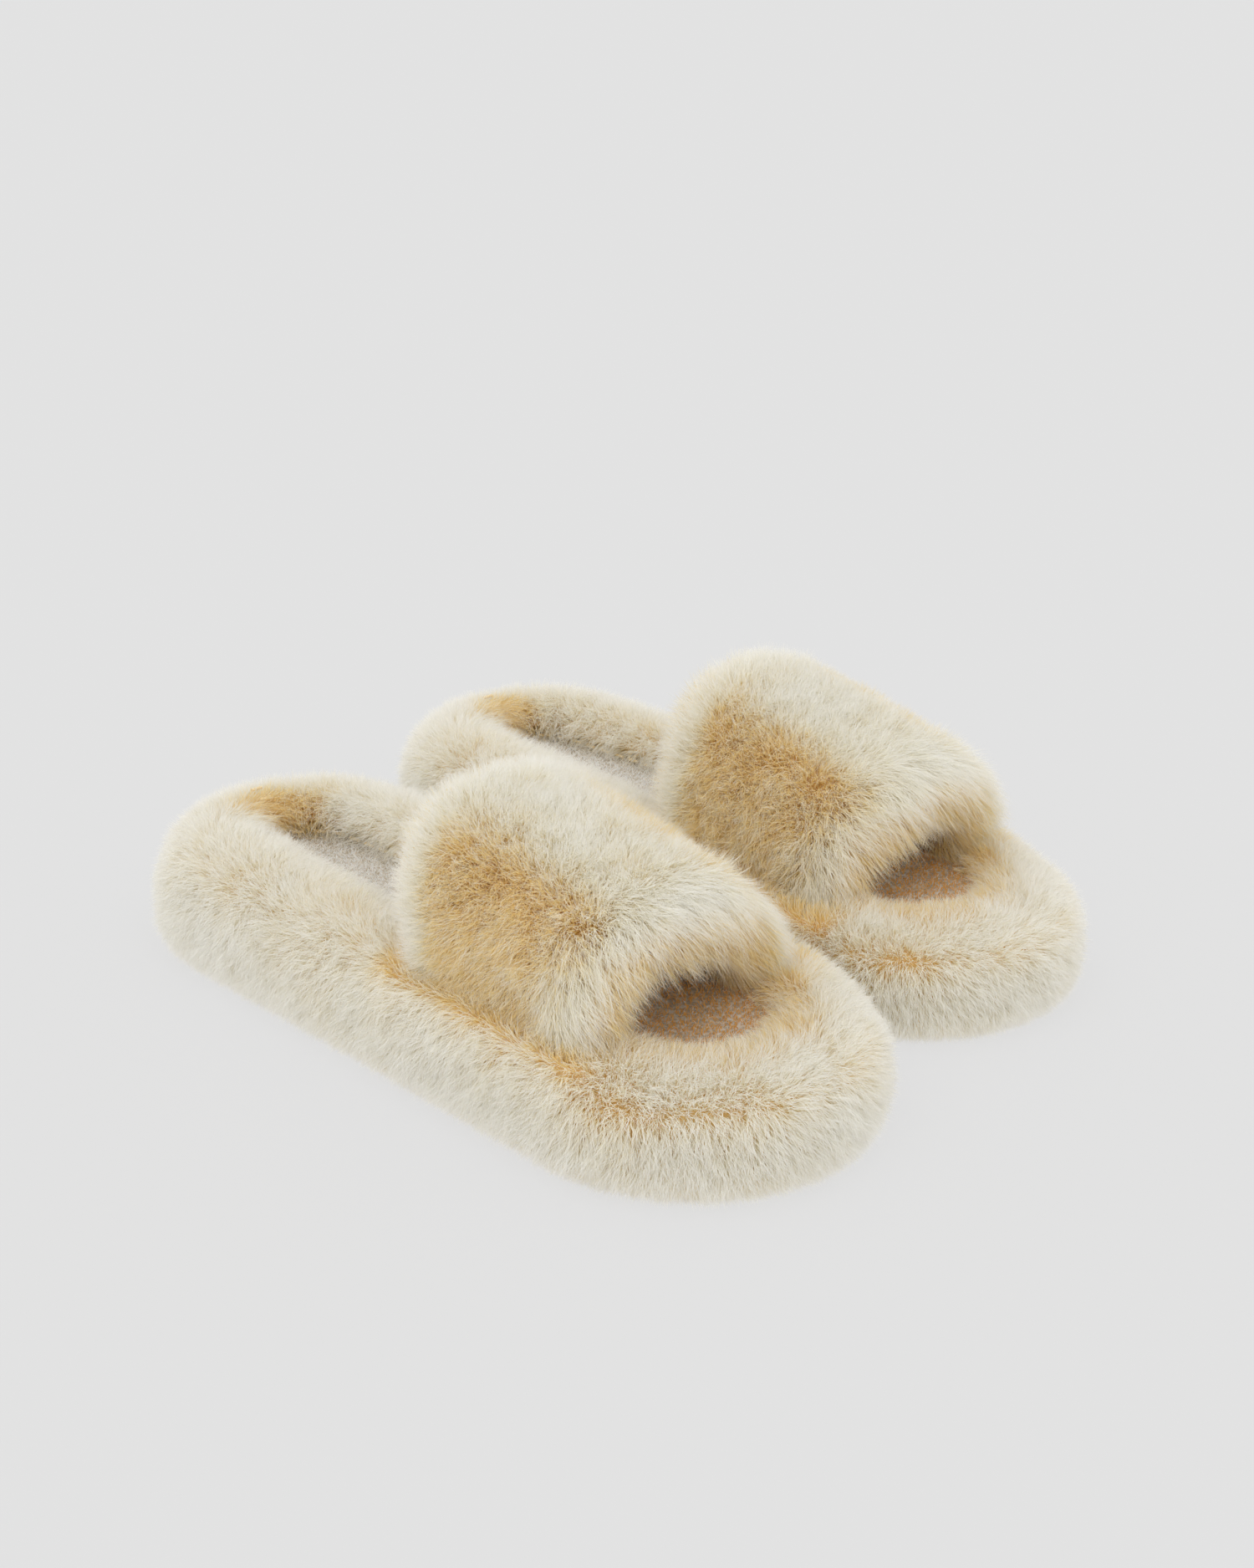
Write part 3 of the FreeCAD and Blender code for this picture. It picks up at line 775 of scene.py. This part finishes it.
    def grow(self, name: str, skin: Skin, rows: np.ndarray, strands: int, seed: int, cut: FurCut,
             finish: Finish) -> bpy.types.Object:
        """Grows the fur of some rows of a backing.

        Args:
            name: the piece's name.
            skin: the backing.
            rows: the rows of its grid on which this piece grows.
            strands: about how many strands.
            seed: seed of all that is random in the piece.
            cut: how the fur is cut and lies.
            finish: the fur's finish.

        Returns:
            The piece, a plain mesh.
        """
        helper = skin.emitter(name + "_helper", rows)
        modifier = helper.modifiers.new("fur", "NODES")
        modifier.node_group = self.tree
        values = {spoken(label): value for label, value in asdict(cut).items()}
        values |= {"Density": strands / skin.area(rows), "Seed": seed, "Strand": self.strand,
                   "Finish": finish.material()}
        for item in self.tree.interface.items_tree:
            if item.in_out == "INPUT" and item.name in values:
                modifier[item.identifier] = values[item.name]
        bpy.context.view_layer.update()
        graph = bpy.context.evaluated_depsgraph_get()
        mesh = bpy.data.meshes.new_from_object(helper.evaluated_get(graph), depsgraph=graph)
        mesh.name = name
        helper_mesh = helper.data
        bpy.data.objects.remove(helper)
        bpy.data.meshes.remove(helper_mesh)
        piece = bpy.data.objects.new(name, mesh)
        bpy.context.scene.collection.objects.link(piece)
        return piece


@dataclass
class Slipper:
    """What every part of one slipper needs to know: its name, its side, its outline and its middle."""

    name: str
    side: int                            # -1 for the slipper at -X, 1 for the one at +X
    fur: FurSystem
    heel_radius: float = 50 * MM         # over the fur
    toe_shift: float = 1 * MM            # how far the forefoot stands in from the heel, towards its fellow
    outline: Outline = field(init=False)
    centre: np.ndarray = field(init=False)

    def __post_init__(self) -> None:
        """Reads the outline from the box of the CAD rim."""
        low, high = self.box("rim_fur")
        toe_radius = (high.x - low.x) / 2
        middle = (low.x + high.x) / 2
        heel_x = middle + self.side * self.toe_shift
        self.outline = Outline(np.array([heel_x, high.y - self.heel_radius]),
                               np.array([middle, low.y + toe_radius]), self.heel_radius, toe_radius)
        self.centre = np.array([heel_x, (low.y + high.y) / 2])

    def box(self, node: str) -> tuple[Vector, Vector]:
        """Box of one of this slipper's CAD nodes."""
        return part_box(f"{self.name}_{node}")

    def back(self, skin: Skin, part: str, node: str, finish: Finish) -> bpy.types.Object:
        """Makes the cloth of a skin, on which its pile then grows.

        Args:
            skin: the skin.
            part: the piece's name, without the slipper's.
            node: the CAD node that it stands for, without the slipper's name.
            finish: the cloth's finish.

        Returns:
            The piece.
        """
        piece = skin.mesh(f"{self.name}_{part}")
        piece.data.materials.append(finish.material())
        return self.wear(piece, node)

    def grow(self, skin: Skin, part: str, node: str, rows: np.ndarray, strands: int, seed: int,
             cut: FurCut = FurCut(), finish: Finish = Finish.CREAM_FUR) -> bpy.types.Object:
        """Grows the pile of some rows of a skin.

        Args:
            skin: the skin.
            part: the piece's name, without the slipper's.
            node: the CAD node that it stands for, without the slipper's name.
            rows: the rows of the skin's grid on which it grows.
            strands: about how many strands.
            seed: seed of all that is random in the piece.
            cut: how the pile is cut and lies.
            finish: its finish.

        Returns:
            The piece.
        """
        return self.wear(self.fur.grow(f"{self.name}_{part}", skin, rows, strands, seed, cut, finish), node)

    def wear(self, piece: bpy.types.Object, node: str) -> bpy.types.Object:
        """Lets a piece ride on this slipper and stand for a CAD node, whose mesh it hides.

        Args:
            piece: the piece.
            node: the CAD node, without the slipper's name.

        Returns:
            The piece.
        """
        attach(piece, f"{self.name}_slipper")
        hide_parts(f"{self.name}_{node}")
        return piece


@dataclass
class FurRim:
    """The padded fur roll all the way round the footbed."""

    slipper: Slipper
    stations: int = 200
    strands: int = 184_000
    section: tuple = (                   # inset from the outline, height (mm), fur cover
        (14.0, 1.6, 0.2), (10.4, 2.6, 1.0), (8.4, 7.0, 1.0), (7.6, 14.0, 1.0), (8.0, 21.0, 1.0),
        (10.0, 27.0, 1.0), (14.5, 31.6, 1.0), (20.0, 33.4, 1.0), (26.0, 33.2, 1.0), (31.0, 31.2, 1.0),
        (32.4, 28.2, 0.6), (20.5, 28.0, 0.0), (19.6, 20.0, 0.0), (19.6, 1.6, 0.0))
    beside_band: tuple = (               # the same where the band presses on it
        (14.0, 1.6, 0.2), (10.4, 2.6, 1.0), (8.0, 7.0, 1.0), (7.0, 13.0, 1.0), (7.0, 19.0, 1.0),
        (7.6, 24.5, 1.0), (8.8, 28.4, 1.0), (10.6, 30.8, 1.0), (12.4, 30.6, 1.0), (13.6, 29.4, 0.7),
        (14.2, 28.2, 0.2), (18.0, 27.9, 0.0), (19.6, 20.0, 0.0), (19.6, 1.6, 0.0))
    press_front: tuple = (-14 * MM, 2 * MM)      # where the band starts to press, from its lining's front
    press_rear: tuple = (10 * MM, -8 * MM)       # and where it stops, from its lining's rear
    heel_rise: float = 2.2 * MM
    toe_drop: float = 4.5 * MM
    heel_run: float = 20 * MM                    # the rise starts this far behind the slipper's middle
    toe_run: tuple = (10 * MM, -30 * MM)         # the drop, from the middle of the forefoot's arc
    crown: tuple = (20 * MM, 34 * MM)            # heights between which the rise and the drop come in
    swell: float = 0.9 * MM                      # how uneven the roll is
    swell_size: float = 34 * MM
    swell_from: tuple = (4 * MM, 14 * MM)        # heights between which it becomes uneven
    outer_face: tuple = (15 * MM, 7 * MM)        # insets at which the outer face starts and is whole
    inner_face: tuple = (19 * MM, 27 * MM)
    foot: tuple = (12 * MM, 2 * MM)              # heights at which the foot of the roll starts and is whole
    comb_outer: tuple = (0.15, -0.30)            # which way the fur is combed there: outwards and up
    comb_crest: tuple = (0.12, 0.0)
    comb_inner: tuple = (-0.50, 0.0)
    comb_foot: tuple = (0.20, 0.06)
    comb_forward: float = 0.14
    pile: float = 9.2 * MM
    pile_inner: float = 2.4 * MM                 # longer on the inner face, but for the toes
    pile_foot: float = 2.4 * MM                  # shorter at the foot
    pile_pressed: float = 1.5 * MM               # and where the band presses
    toes: tuple = (-60 * MM, -90 * MM)           # the toes start and are whole, from the slipper's middle
    heel_dip: tuple = (90 * MM, 100 * MM)        # the dip in the heel's middle, likewise
    heel_dip_width: float = 12 * MM
    flank_rear: tuple = (45 * MM, 5 * MM)
    flank_front: tuple = (-132 * MM, -100 * MM)
    flank_height: tuple = (21 * MM, 10 * MM)
    crease: tuple = (9 * MM, 12 * MM)            # insets of the crease beside the band
    tint: float = 0.12                           # how much of the roots' colour shows: everywhere
    tint_crease: float = 0.62                    # and how much more in the crease beside the band, a painted warm shade, and so on
    tint_flank: float = 0.10
    # painted shade: tan on the inner face in the heel dip, where the notch lies in shade
    tint_heel_dip: float = 1.1
    tint_tufts: float = 0.18
    tint_inner: float = 0.08
    # painted shade: tan on the inner face at the toes, inside the toe opening under the band's shade
    tint_toes: float = 0.5
    normals_out: np.ndarray = field(init=False)
    inset: np.ndarray = field(init=False)
    pressed: np.ndarray = field(init=False)

    def skin(self) -> Skin:
        """Sweeps the section round the outline, lower towards the toes and a little uneven.

        Returns:
            The skin; its insets and how much the band presses on it are kept in this object.
        """
        outline = self.slipper.outline
        points, self.normals_out = outline.ring(self.stations)
        along = points[:, 1]
        low, high = self.slipper.box("band_lining")
        share = (smooth_step(along, *(low.y + place for place in self.press_front))
                 * smooth_step(along, *(high.y + place for place in self.press_rear)))[:, None, None]
        shape = cut_corners(np.array(self.section))[None] * (1 - share)
        shape = shape + cut_corners(np.array(self.beside_band))[None] * share
        self.inset, height, cover = shape[..., 0] * MM, shape[..., 1] * MM, shape[..., 2]
        self.pressed = share[..., 0]
        drop = self.toe_drop * smooth_step(along, *(outline.toe[1] + place for place in self.toe_run))
        rise = self.heel_rise * smooth_step(along, self.slipper.centre[1] + self.heel_run, outline.heel[1])
        height = height + (rise - drop)[:, None] * smooth_step(height, *self.crown)
        grid = np.empty((*self.inset.shape, 3))
        grid[..., :2] = points[:, None] - self.normals_out[:, None] * self.inset[..., None]
        grid[..., 2] = height
        uneven = waves(grid.reshape(-1, 3), self.swell_size, 3.0).reshape(grid.shape)
        grid += uneven * self.swell * cover[..., None] * smooth_step(height, *self.swell_from)[..., None]
        return Skin(grid, cover, True)

    def groom(self, skin: Skin) -> None:
        """Sets how the rim's fur lies, how long it is and how much of its roots shows, partly as painted
        shade in the crease beside the band, in the heel dip and inside the toes.

        Args:
            skin: the rim's skin.
        """
        across, along, height = np.moveaxis(skin.points, -1, 0)
        across, along = across - self.slipper.centre[0], along - self.slipper.centre[1]
        outer = smooth_step(self.inset, *self.outer_face)
        inner = smooth_step(self.inset, *self.inner_face)
        crest = np.clip(1 - outer - inner, 0, 1)
        foot = smooth_step(height, *self.foot)
        flow = np.zeros_like(skin.points)
        for part, (outwards, up) in ((outer, self.comb_outer), (crest, self.comb_crest),
                                     (inner, self.comb_inner), (foot, self.comb_foot)):
            flow[..., :2] += part[..., None] * outwards * self.normals_out[:, None]
            flow[..., 2] += part * up
        flow[..., 1] -= self.comb_forward
        skin.comb = skin.lay(flow)
        at_toes = smooth_step(along, *self.toes)
        skin.pile = (self.pile + self.pile_inner * inner * (1 - at_toes) - self.pile_foot * foot
                     - self.pile_pressed * self.pressed * crest)
        heel_dip = bell(across, 0, self.heel_dip_width) * smooth_step(along, *self.heel_dip)
        crease = self.pressed * smooth_step(self.inset, *self.crease)
        flank = (smooth_step(along, *self.flank_rear) * smooth_step(along, *self.flank_front)
                 * bell(height, *self.flank_height) * outer)
        tufts = waves(skin.points.reshape(-1, 3), 22 * MM, 8.0)[:, 0].reshape(along.shape)
        # painted shade: more of the roots' tan in the crease beside the band, in the heel dip and inside the
        # toes, where shade falls
        skin.tint = np.clip(self.tint + self.tint_crease * crease + self.tint_flank * flank
                            + self.tint_heel_dip * heel_dip * inner + self.tint_tufts * tufts
                            + (self.tint_inner + self.tint_toes * at_toes) * inner * (1 - heel_dip), 0, 1)

    def make(self) -> list[bpy.types.Object]:
        """Makes the rim's backing and its fur, in six patches.

        Returns:
            The pieces.
        """
        skin = self.skin()
        pieces = [self.slipper.back(skin, "rim_backing", "rim_fur", Finish.FUR_BACKING)]
        self.groom(skin)
        patches = ("heel_left", "side_left", "toe_left", "toe_right", "side_right", "heel_right")
        ends = [round(self.stations * number / len(patches)) for number in range(len(patches) + 1)]
        whole = skin.area(np.arange(self.stations + 1) % self.stations)
        for number, patch in enumerate(patches):
            rows = np.arange(ends[number], ends[number + 1] + 1) % self.stations
            strands = round(self.strands * skin.area(rows) / whole)
            piece = self.slipper.grow(skin, f"rim_pile_{patch}", "rim_fur", rows, strands, 11 + number)
            pieces.append(piece)
        return pieces


@dataclass
class FurBand:
    """The wide padded fur band over the instep."""

    slipper: Slipper
    steps: int = 84
    strands: int = 84_000
    half_width: float = 43 * MM
    rear_height: float = 89 * MM
    front_height: float = 69 * MM
    length: float = 70 * MM
    rear_offset: float = -8 * MM                 # its rear edge, from the slipper's middle
    fullness: float = 2.6                        # 2 is a round arch, more is squarer
    lean: float = 5 * MM                         # how far the arch leans outwards
    flare: float = 7 * MM                        # how far its two edges spread at the top
    edge_drop: float = 5 * MM
    edge_run: float = 14 * MM
    swell: float = 1.2 * MM                      # how uneven the band is
    swell_size: float = 30 * MM
    section: tuple = (                   # share of the length from the rear edge, inset (mm), fur cover
        (0.30, 13.6, 0.0), (0.15, 13.6, 0.2), (0.095, 13.0, 0.7), (0.075, 11.4, 1.0), (0.09, 9.6, 1.0),
        (0.15, 8.5, 1.0), (0.27, 7.9, 1.0), (0.40, 7.6, 1.0), (0.54, 7.6, 1.0), (0.68, 7.9, 1.0),
        (0.80, 8.3, 1.0), (0.88, 9.0, 1.0), (0.925, 10.2, 1.0), (0.93, 12.0, 1.0), (0.90, 13.4, 0.8),
        (0.80, 13.8, 0.1), (0.55, 13.6, 0.0))
    rear_edge: tuple = (0.26, 0.08)              # shares of the length where an edge starts and is whole
    front_edge: tuple = (0.70, 0.92)
    comb_body: tuple = (0.20, 0.0)               # which way the fur is combed there: forwards and up
    comb_rear: tuple = (-0.35, 0.25)
    comb_front: tuple = (0.50, -0.45)
    comb_slope: tuple = (0.06, -0.12)            # outwards and up
    pile: float = 9.2 * MM
    pile_front: float = 6.4 * MM                 # longer at the edges
    pile_rear: float = 2.6 * MM
    tint: float = 0.10                           # how much of the roots' colour shows: everywhere
    tint_slopes: float = 0.58                    # and how much more down the sides, and so on
    tint_body: float = 0.14
    # painted shade: tan at the foot of the band, down in the crease against the rim
    tint_foot: float = 0.7
    # painted shade: tan under the band's turned-in edges, which lie in shade
    tint_under: float = 0.8
    tint_tufts: float = 0.18
    base: float = field(init=False)
    rear: float = field(init=False)
    along: np.ndarray = field(init=False)        # of each point of the last skin: the place along the band,
    share: np.ndarray = field(init=False)        # how far up the arch it is,
    outwards: np.ndarray = field(init=False)     # to which side,
    inset: np.ndarray = field(init=False)        # and how deep in the fur

    def __post_init__(self) -> None:
        """Reads the band's place from the frame."""
        self.base = self.slipper.box("band_lining")[0].z
        self.rear = self.slipper.centre[1] + self.rear_offset

    def top(self, along: np.ndarray) -> np.ndarray:
        """Works out how high the fur is over the middle of the arch.

        Args:
            along: distances from the rear edge.

        Returns:
            The heights.
        """
        height = self.rear_height + along / self.length * (self.front_height - self.rear_height)
        into_edge = np.clip(1 - np.minimum(along, self.length - along) / self.edge_run, 0, 1)
        return height - self.edge_drop * into_edge ** 2

    def sweep(self, section: tuple, swell: float) -> Skin:
        """Sweeps a section over the arch.

        Args:
            section: share of the band's length, inset (mm) and fur cover of each of its points.
            swell: how uneven the surface is.

        Returns:
            The skin; where its points lie on the band is kept in this object.
        """
        loop = cut_corners(np.array(section))
        along, inset, cover = loop[:, 0] * self.length, loop[:, 1] * MM, loop[:, 2]
        angles = np.linspace(0, math.pi, self.steps)[:, None]
        power = 2 / self.fullness
        rise = self.top(along) - inset - self.base
        across = -np.sign(np.cos(angles)) * np.abs(np.cos(angles)) ** power * (self.half_width - inset)
        share = np.maximum(np.sin(angles), 0) ** power + 0 * across
        middle = self.length / 2
        grid = np.empty((*across.shape, 3))
        grid[..., 0] = self.slipper.centre[0] + across + self.slipper.side * self.lean * share
        grid[..., 1] = self.rear - along + self.flare * (middle - along) / middle * share
        grid[..., 2] = self.base + share * rise
        uneven = waves(grid.reshape(-1, 3), self.swell_size, 5.0).reshape(grid.shape)
        grid += uneven * swell * cover[..., None] * smooth_step(share, 0.05, 0.3)[..., None]
        self.share, self.outwards = share, np.sign(angles / math.pi - 0.5) + 0 * share
        self.along, self.inset = along + 0 * share, inset + 0 * share
        return Skin(grid, cover + 0 * share, False)

    def groom(self, skin: Skin) -> None:
        """Sets how the band's fur lies, how long it is and how much of its roots shows, partly as painted
        shade at its foot and under its edges.

        Args:
            skin: the band's skin.
        """
        place = self.along / self.length
        rear, front = smooth_step(place, *self.rear_edge), smooth_step(place, *self.front_edge)
        slope = smooth_step(self.share, 0.97, 0.75)
        flow = np.zeros_like(skin.points)
        for part, (forwards, up) in ((1 - rear, self.comb_body), (rear, self.comb_rear),
                                     (front, self.comb_front)):
            flow[..., 1] -= part * forwards
            flow[..., 2] += part * up
        flow[..., 0] += slope * self.comb_slope[0] * self.outwards
        flow[..., 2] += slope * self.comb_slope[1]
        skin.comb = skin.lay(flow)
        skin.pile = self.pile + self.pile_front * front + self.pile_rear * rear
        tufts = waves(skin.points.reshape(-1, 3), 20 * MM, 4.0)[:, 0].reshape(place.shape)
        slopes = smooth_step(self.share, 1.0, 0.84)
        body = smooth_step(place, 0.10, 0.26) * smooth_step(place, 1.0, 0.66)
        # painted shade: the roots' tan at the band's foot, in the crease against the rim
        foot = smooth_step(self.share, 0.22, 0.0)
        # painted shade: the roots' tan under the band's turned-in edges
        under = smooth_step(self.inset, 9.4 * MM, 11.4 * MM)
        skin.tint = np.clip(self.tint + self.tint_slopes * slopes * body + self.tint_body * body
                            + self.tint_foot * foot + self.tint_under * under + self.tint_tufts * tufts, 0, 1)

    def make(self) -> list[bpy.types.Object]:
        """Makes the band's backing and its fur, in two patches.

        Returns:
            The pieces.
        """
        skin = self.sweep(self.section, self.swell)
        pieces = [self.slipper.back(skin, "band_backing", "band_fur", Finish.FUR_BACKING)]
        self.groom(skin)
        half = self.steps // 2
        for patch, rows, seed in (("left", np.arange(half + 1), 31),
                                  ("right", np.arange(half, self.steps), 32)):
            piece = self.slipper.grow(skin, f"band_pile_{patch}", "band_fur", rows, self.strands // 2, seed)
            pieces.append(piece)
        return pieces


@dataclass
class SockLiner:
    """The terry sock liner: a thin sheet laid on the footbed, a little dished under the heel."""

    slipper: Slipper
    stations: int = 160
    strands: int = 20_000
    inset: float = 20.3 * MM
    heel_dish: float = 1.3 * MM
    edge_round: float = 0.5 * MM
    brown_run: float = 50 * MM           # from the slipper's middle forwards, the loops turn brown over this, a painted warm shade under the band
    pile: float = 1.7 * MM
    cut: FurCut = FurCut(strand_width=0.34 * MM, tuft_size=1.6 * MM, tuft_pull=0.5, spread=0.8, swirl=0.2,
                         ruffle=0.2, ruffle_size=5 * MM, droop=0.0)

    def skin(self) -> tuple[Skin, int]:
        """Rings from the middle of the top out to the edge and back to the middle underneath.

        Returns:
            The sheet and how many of its rings are its top.
        """
        low, high = self.slipper.box("sock_liner")
        outline = self.slipper.outline
        points, normals = outline.ring(self.stations)
        share = np.clip((outline.heel[1] - points[:, 1]) / (outline.heel[1] - outline.toe[1]), 0, 1)
        spine = outline.heel + (outline.toe - outline.heel) * share[:, None]
        edge = points - normals * self.inset - spine
        top_reach = np.append(np.linspace(0.012, 1, 16)[:-1], (0.985, 0.997))
        reach = np.concatenate([top_reach, top_reach[::-1]])
        grid = np.empty((len(reach), self.stations, 3))
        grid[..., :2] = spine + edge * reach[:, None, None]
        dish = self.heel_dish * smooth_step(grid[..., 1], self.slipper.centre[1], outline.heel[1])
        dish = dish * (1 - reach[:, None] ** 2)
        fall = self.edge_round * smooth_step(reach, 0.96, 1.0)[:, None]
        top = np.arange(len(reach)) < len(top_reach)
        grid[..., 2] = np.where(top[:, None], high.z - dish - fall, low.z + 0.2 * MM + fall)
        cover = np.repeat((top & (reach < 0.9)).astype(float)[:, None], self.stations, 1)
        return Skin(grid, cover, False), len(top_reach)

    def flat_area(self) -> float:
        """Works out the area of the cut, which is the outline at this inset.

        Returns:
            The area in square metres.
        """
        points, normals = self.slipper.outline.ring(self.stations)
        cut = points - normals * self.inset
        after = np.roll(cut, -1, axis=0)
        return float(abs((cut[:, 0] * after[:, 1] - after[:, 0] * cut[:, 1]).sum()) / 2)

    def make(self) -> list[bpy.types.Object]:
        """Makes the sheet and its looped pile.

        Returns:
            The pieces.
        """
        skin, top = self.skin()
        sheet = self.slipper.back(skin, "sock_liner_cloth", "sock_liner", Finish.TERRY)
        low, high = self.slipper.box("sock_liner")
        skin.comb = np.zeros_like(skin.points)
        skin.pile = np.full(skin.bare.shape, self.pile)
        middle = self.slipper.centre[1]
        # painted shade: the loops' roots turn brown towards the toes, for the shade and warm bounced light
        # under the band
        skin.tint = smooth_step(skin.points[..., 1], middle, middle - self.brown_run)
        loops = self.slipper.grow(skin, "sock_liner_loops", "sock_liner", np.arange(top), self.strands, 51,
                                  self.cut, Finish.TERRY_LOOPS)
        self.flat_area()
        return [sheet, loops]


@dataclass
class BandLining:
    """The plush lining inside the band, with a short brown pile towards the foot."""

    slipper: Slipper
    band: FurBand
    strands: int = 12_000
    section: tuple = (                   # share of the band's length, inset (mm), pile cover
        (0.10, 14.0, 0.0), (0.065, 14.2, 0.3), (0.055, 15.4, 1.0), (0.065, 16.6, 1.0), (0.12, 16.9, 1.0),
        (0.32, 16.9, 1.0), (0.50, 16.9, 1.0), (0.70, 16.9, 1.0), (0.88, 16.9, 1.0), (0.935, 16.6, 1.0),
        (0.945, 15.4, 1.0), (0.935, 14.2, 0.3), (0.90, 14.0, 0.0), (0.50, 14.0, 0.0))
    swell: float = 0.3 * MM
    comb_forward: float = 0.5
    pile: float = 3.2 * MM
    tint: float = 0.45
    cut: FurCut = FurCut(strand_width=0.32 * MM, tuft_size=2.4 * MM, spread=0.5, droop=0.0)

    def make(self) -> list[bpy.types.Object]:
        """Makes the lining's cloth and its pile.

        Returns:
            The pieces.
        """
        skin = self.band.sweep(self.section, self.swell)
        cloth = self.slipper.back(skin, "band_lining_cloth", "band_lining", Finish.PLUSH)
        skin.comb = skin.lay(np.broadcast_to(np.array([0.0, -self.comb_forward, 0.0]), skin.points.shape))
        skin.pile = np.full(skin.bare.shape, self.pile)
        skin.tint = np.full(skin.bare.shape, self.tint)
        pile = self.slipper.grow(skin, "band_lining_pile", "band_lining", np.arange(self.band.steps),
                                 self.strands, 61, self.cut, Finish.PLUSH_PILE)
        return [cloth, pile]


# ---- studio --------------------------------------------------------------------------------------
@dataclass
class Studio:
    """Pale floor, soft light and the camera."""

    azimuth: float = -44.1
    elevation: float = 22.95
    distance: float = 0.718
    aim_height: float = 0.03
    sensor: float = 36.0                 # width, in millimetres
    lens: float = 66.912                 # focal length, in millimetres
    shift: tuple = (0.014, 0.0643333)    # of the picture, as shares of its width
    floor_reach: float = 12.0
    floor_grey: float = 90.0
    floor_glow: float = 0.652
    sky: float = 0.88
    sun: float = 0.75
    sun_breadth: float = 80.0            # in degrees; broad, so that shadows are soft
    sun_from: tuple = (-0.60, -0.35, 1.0)
    bounces: int = 8                     # so that light reaches the roots of the fur

    def camera(self) -> None:
        """Places the camera on a line through the aim point above the middle of the pair."""
        turn, tilt = math.radians(self.azimuth), math.radians(self.elevation)
        back = Vector((math.sin(turn) * math.cos(tilt), -math.cos(turn) * math.cos(tilt), math.sin(tilt)))
        data = bpy.data.cameras.new("camera")
        data.sensor_fit = "HORIZONTAL"
        data.sensor_width = self.sensor
        data.lens = self.lens
        data.shift_x, data.shift_y = self.shift
        camera = bpy.data.objects.new("camera", data)
        camera.location = Vector((0, 0, self.aim_height)) + back * self.distance
        camera.rotation_euler = back.to_track_quat("Z", "Y").to_euler()
        bpy.context.scene.collection.objects.link(camera)
        bpy.context.scene.camera = camera

    def floor(self) -> None:
        """A wide pale floor that glows a little, as a lit sweep does."""
        mesh = bpy.data.meshes.new("floor")
        mesh.from_pydata([(x * self.floor_reach, y * self.floor_reach, 0)
                          for x, y in ((-1, -1), (1, -1), (1, 1), (-1, 1))], [], [(0, 1, 2, 3)])
        floor = bpy.data.objects.new("floor", mesh)
        bpy.context.scene.collection.objects.link(floor)
        material, graph, output = new_material("floor")
        matt = graph.node("ShaderNodeBsdfDiffuse", {"Color": linear(*[self.floor_grey] * 3)})
        glow = graph.node("ShaderNodeEmission", {"Color": linear(255, 255, 255), "Strength": self.floor_glow})
        both = graph.node("ShaderNodeAddShader", {0: matt.outputs[0], 1: glow.outputs[0]})
        graph.feed(output.inputs["Surface"], both.outputs[0])
        mesh.materials.append(material)

    def light(self) -> None:
        """Even light from all round and a broad soft one from above."""
        world = bpy.data.worlds.new("studio")
        bpy.context.scene.world = world
        world.use_nodes = True
        background = world.node_tree.nodes["Background"]
        background.inputs["Color"].default_value = linear(255, 255, 255)
        background.inputs["Strength"].default_value = self.sky
        data = bpy.data.lights.new("key", "SUN")
        data.energy = self.sun
        data.angle = math.radians(self.sun_breadth)
        sun = bpy.data.objects.new("key", data)
        sun.rotation_euler = Vector(self.sun_from).to_track_quat("Z", "Y").to_euler()
        bpy.context.scene.collection.objects.link(sun)

    def make(self) -> None:
        """Sets the whole studio."""
        bpy.context.scene.view_settings.view_transform = "Standard"
        bpy.context.scene.cycles.diffuse_bounces = self.bounces
        self.camera()
        self.floor()
        self.light()


# ---- the pair ------------------------------------------------------------------------------------
NODE_FINISHES = {
    "outsole": Finish.RUBBER,
    "midsole": Finish.EVA,
    "insole_board": Finish.BOARD,
    "footbed_foam": Finish.SOFT_FOAM,
    "rim_foam": Finish.SOFT_FOAM,
    "band_foam": Finish.SOFT_FOAM,
    "sock_seam_stitches": Finish.THREAD,
    "band_edge_stitches": Finish.THREAD,
    "band_anchor_stitches": Finish.THREAD,
    "heel_seam_stitches": Finish.THREAD,
}


def dress_node(name: str, finish: Finish) -> None:
    """Gives a CAD node its finish.

    Args:
        name: the node's name.
        finish: its finish.
    """
    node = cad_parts[name]
    node.data.materials.clear()
    node.data.materials.append(finish.material())
    LOG.info("%s: %s", name, finish.value.name)


def main() -> None:
    """Builds the studio and then both slippers, part by part, and reports each piece."""
    logging.basicConfig(level=logging.INFO, format="%(name)s: %(message)s")
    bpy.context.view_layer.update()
    Studio().make()
    fur = FurSystem()
    for name, side in (("right", -1), ("left", 1)):
        slipper = Slipper(name, side, fur)
        band = FurBand(slipper)
        for part in (FurRim(slipper), band, BandLining(slipper, band), SockLiner(slipper)):
            for piece in part.make():
                LOG.info("%s: %d faces", piece.name, len(piece.data.polygons))
        for node, finish in NODE_FINISHES.items():
            dress_node(f"{name}_{node}", finish)
    bpy.data.objects.remove(fur.strand)


if __name__ == "__main__":
    main()
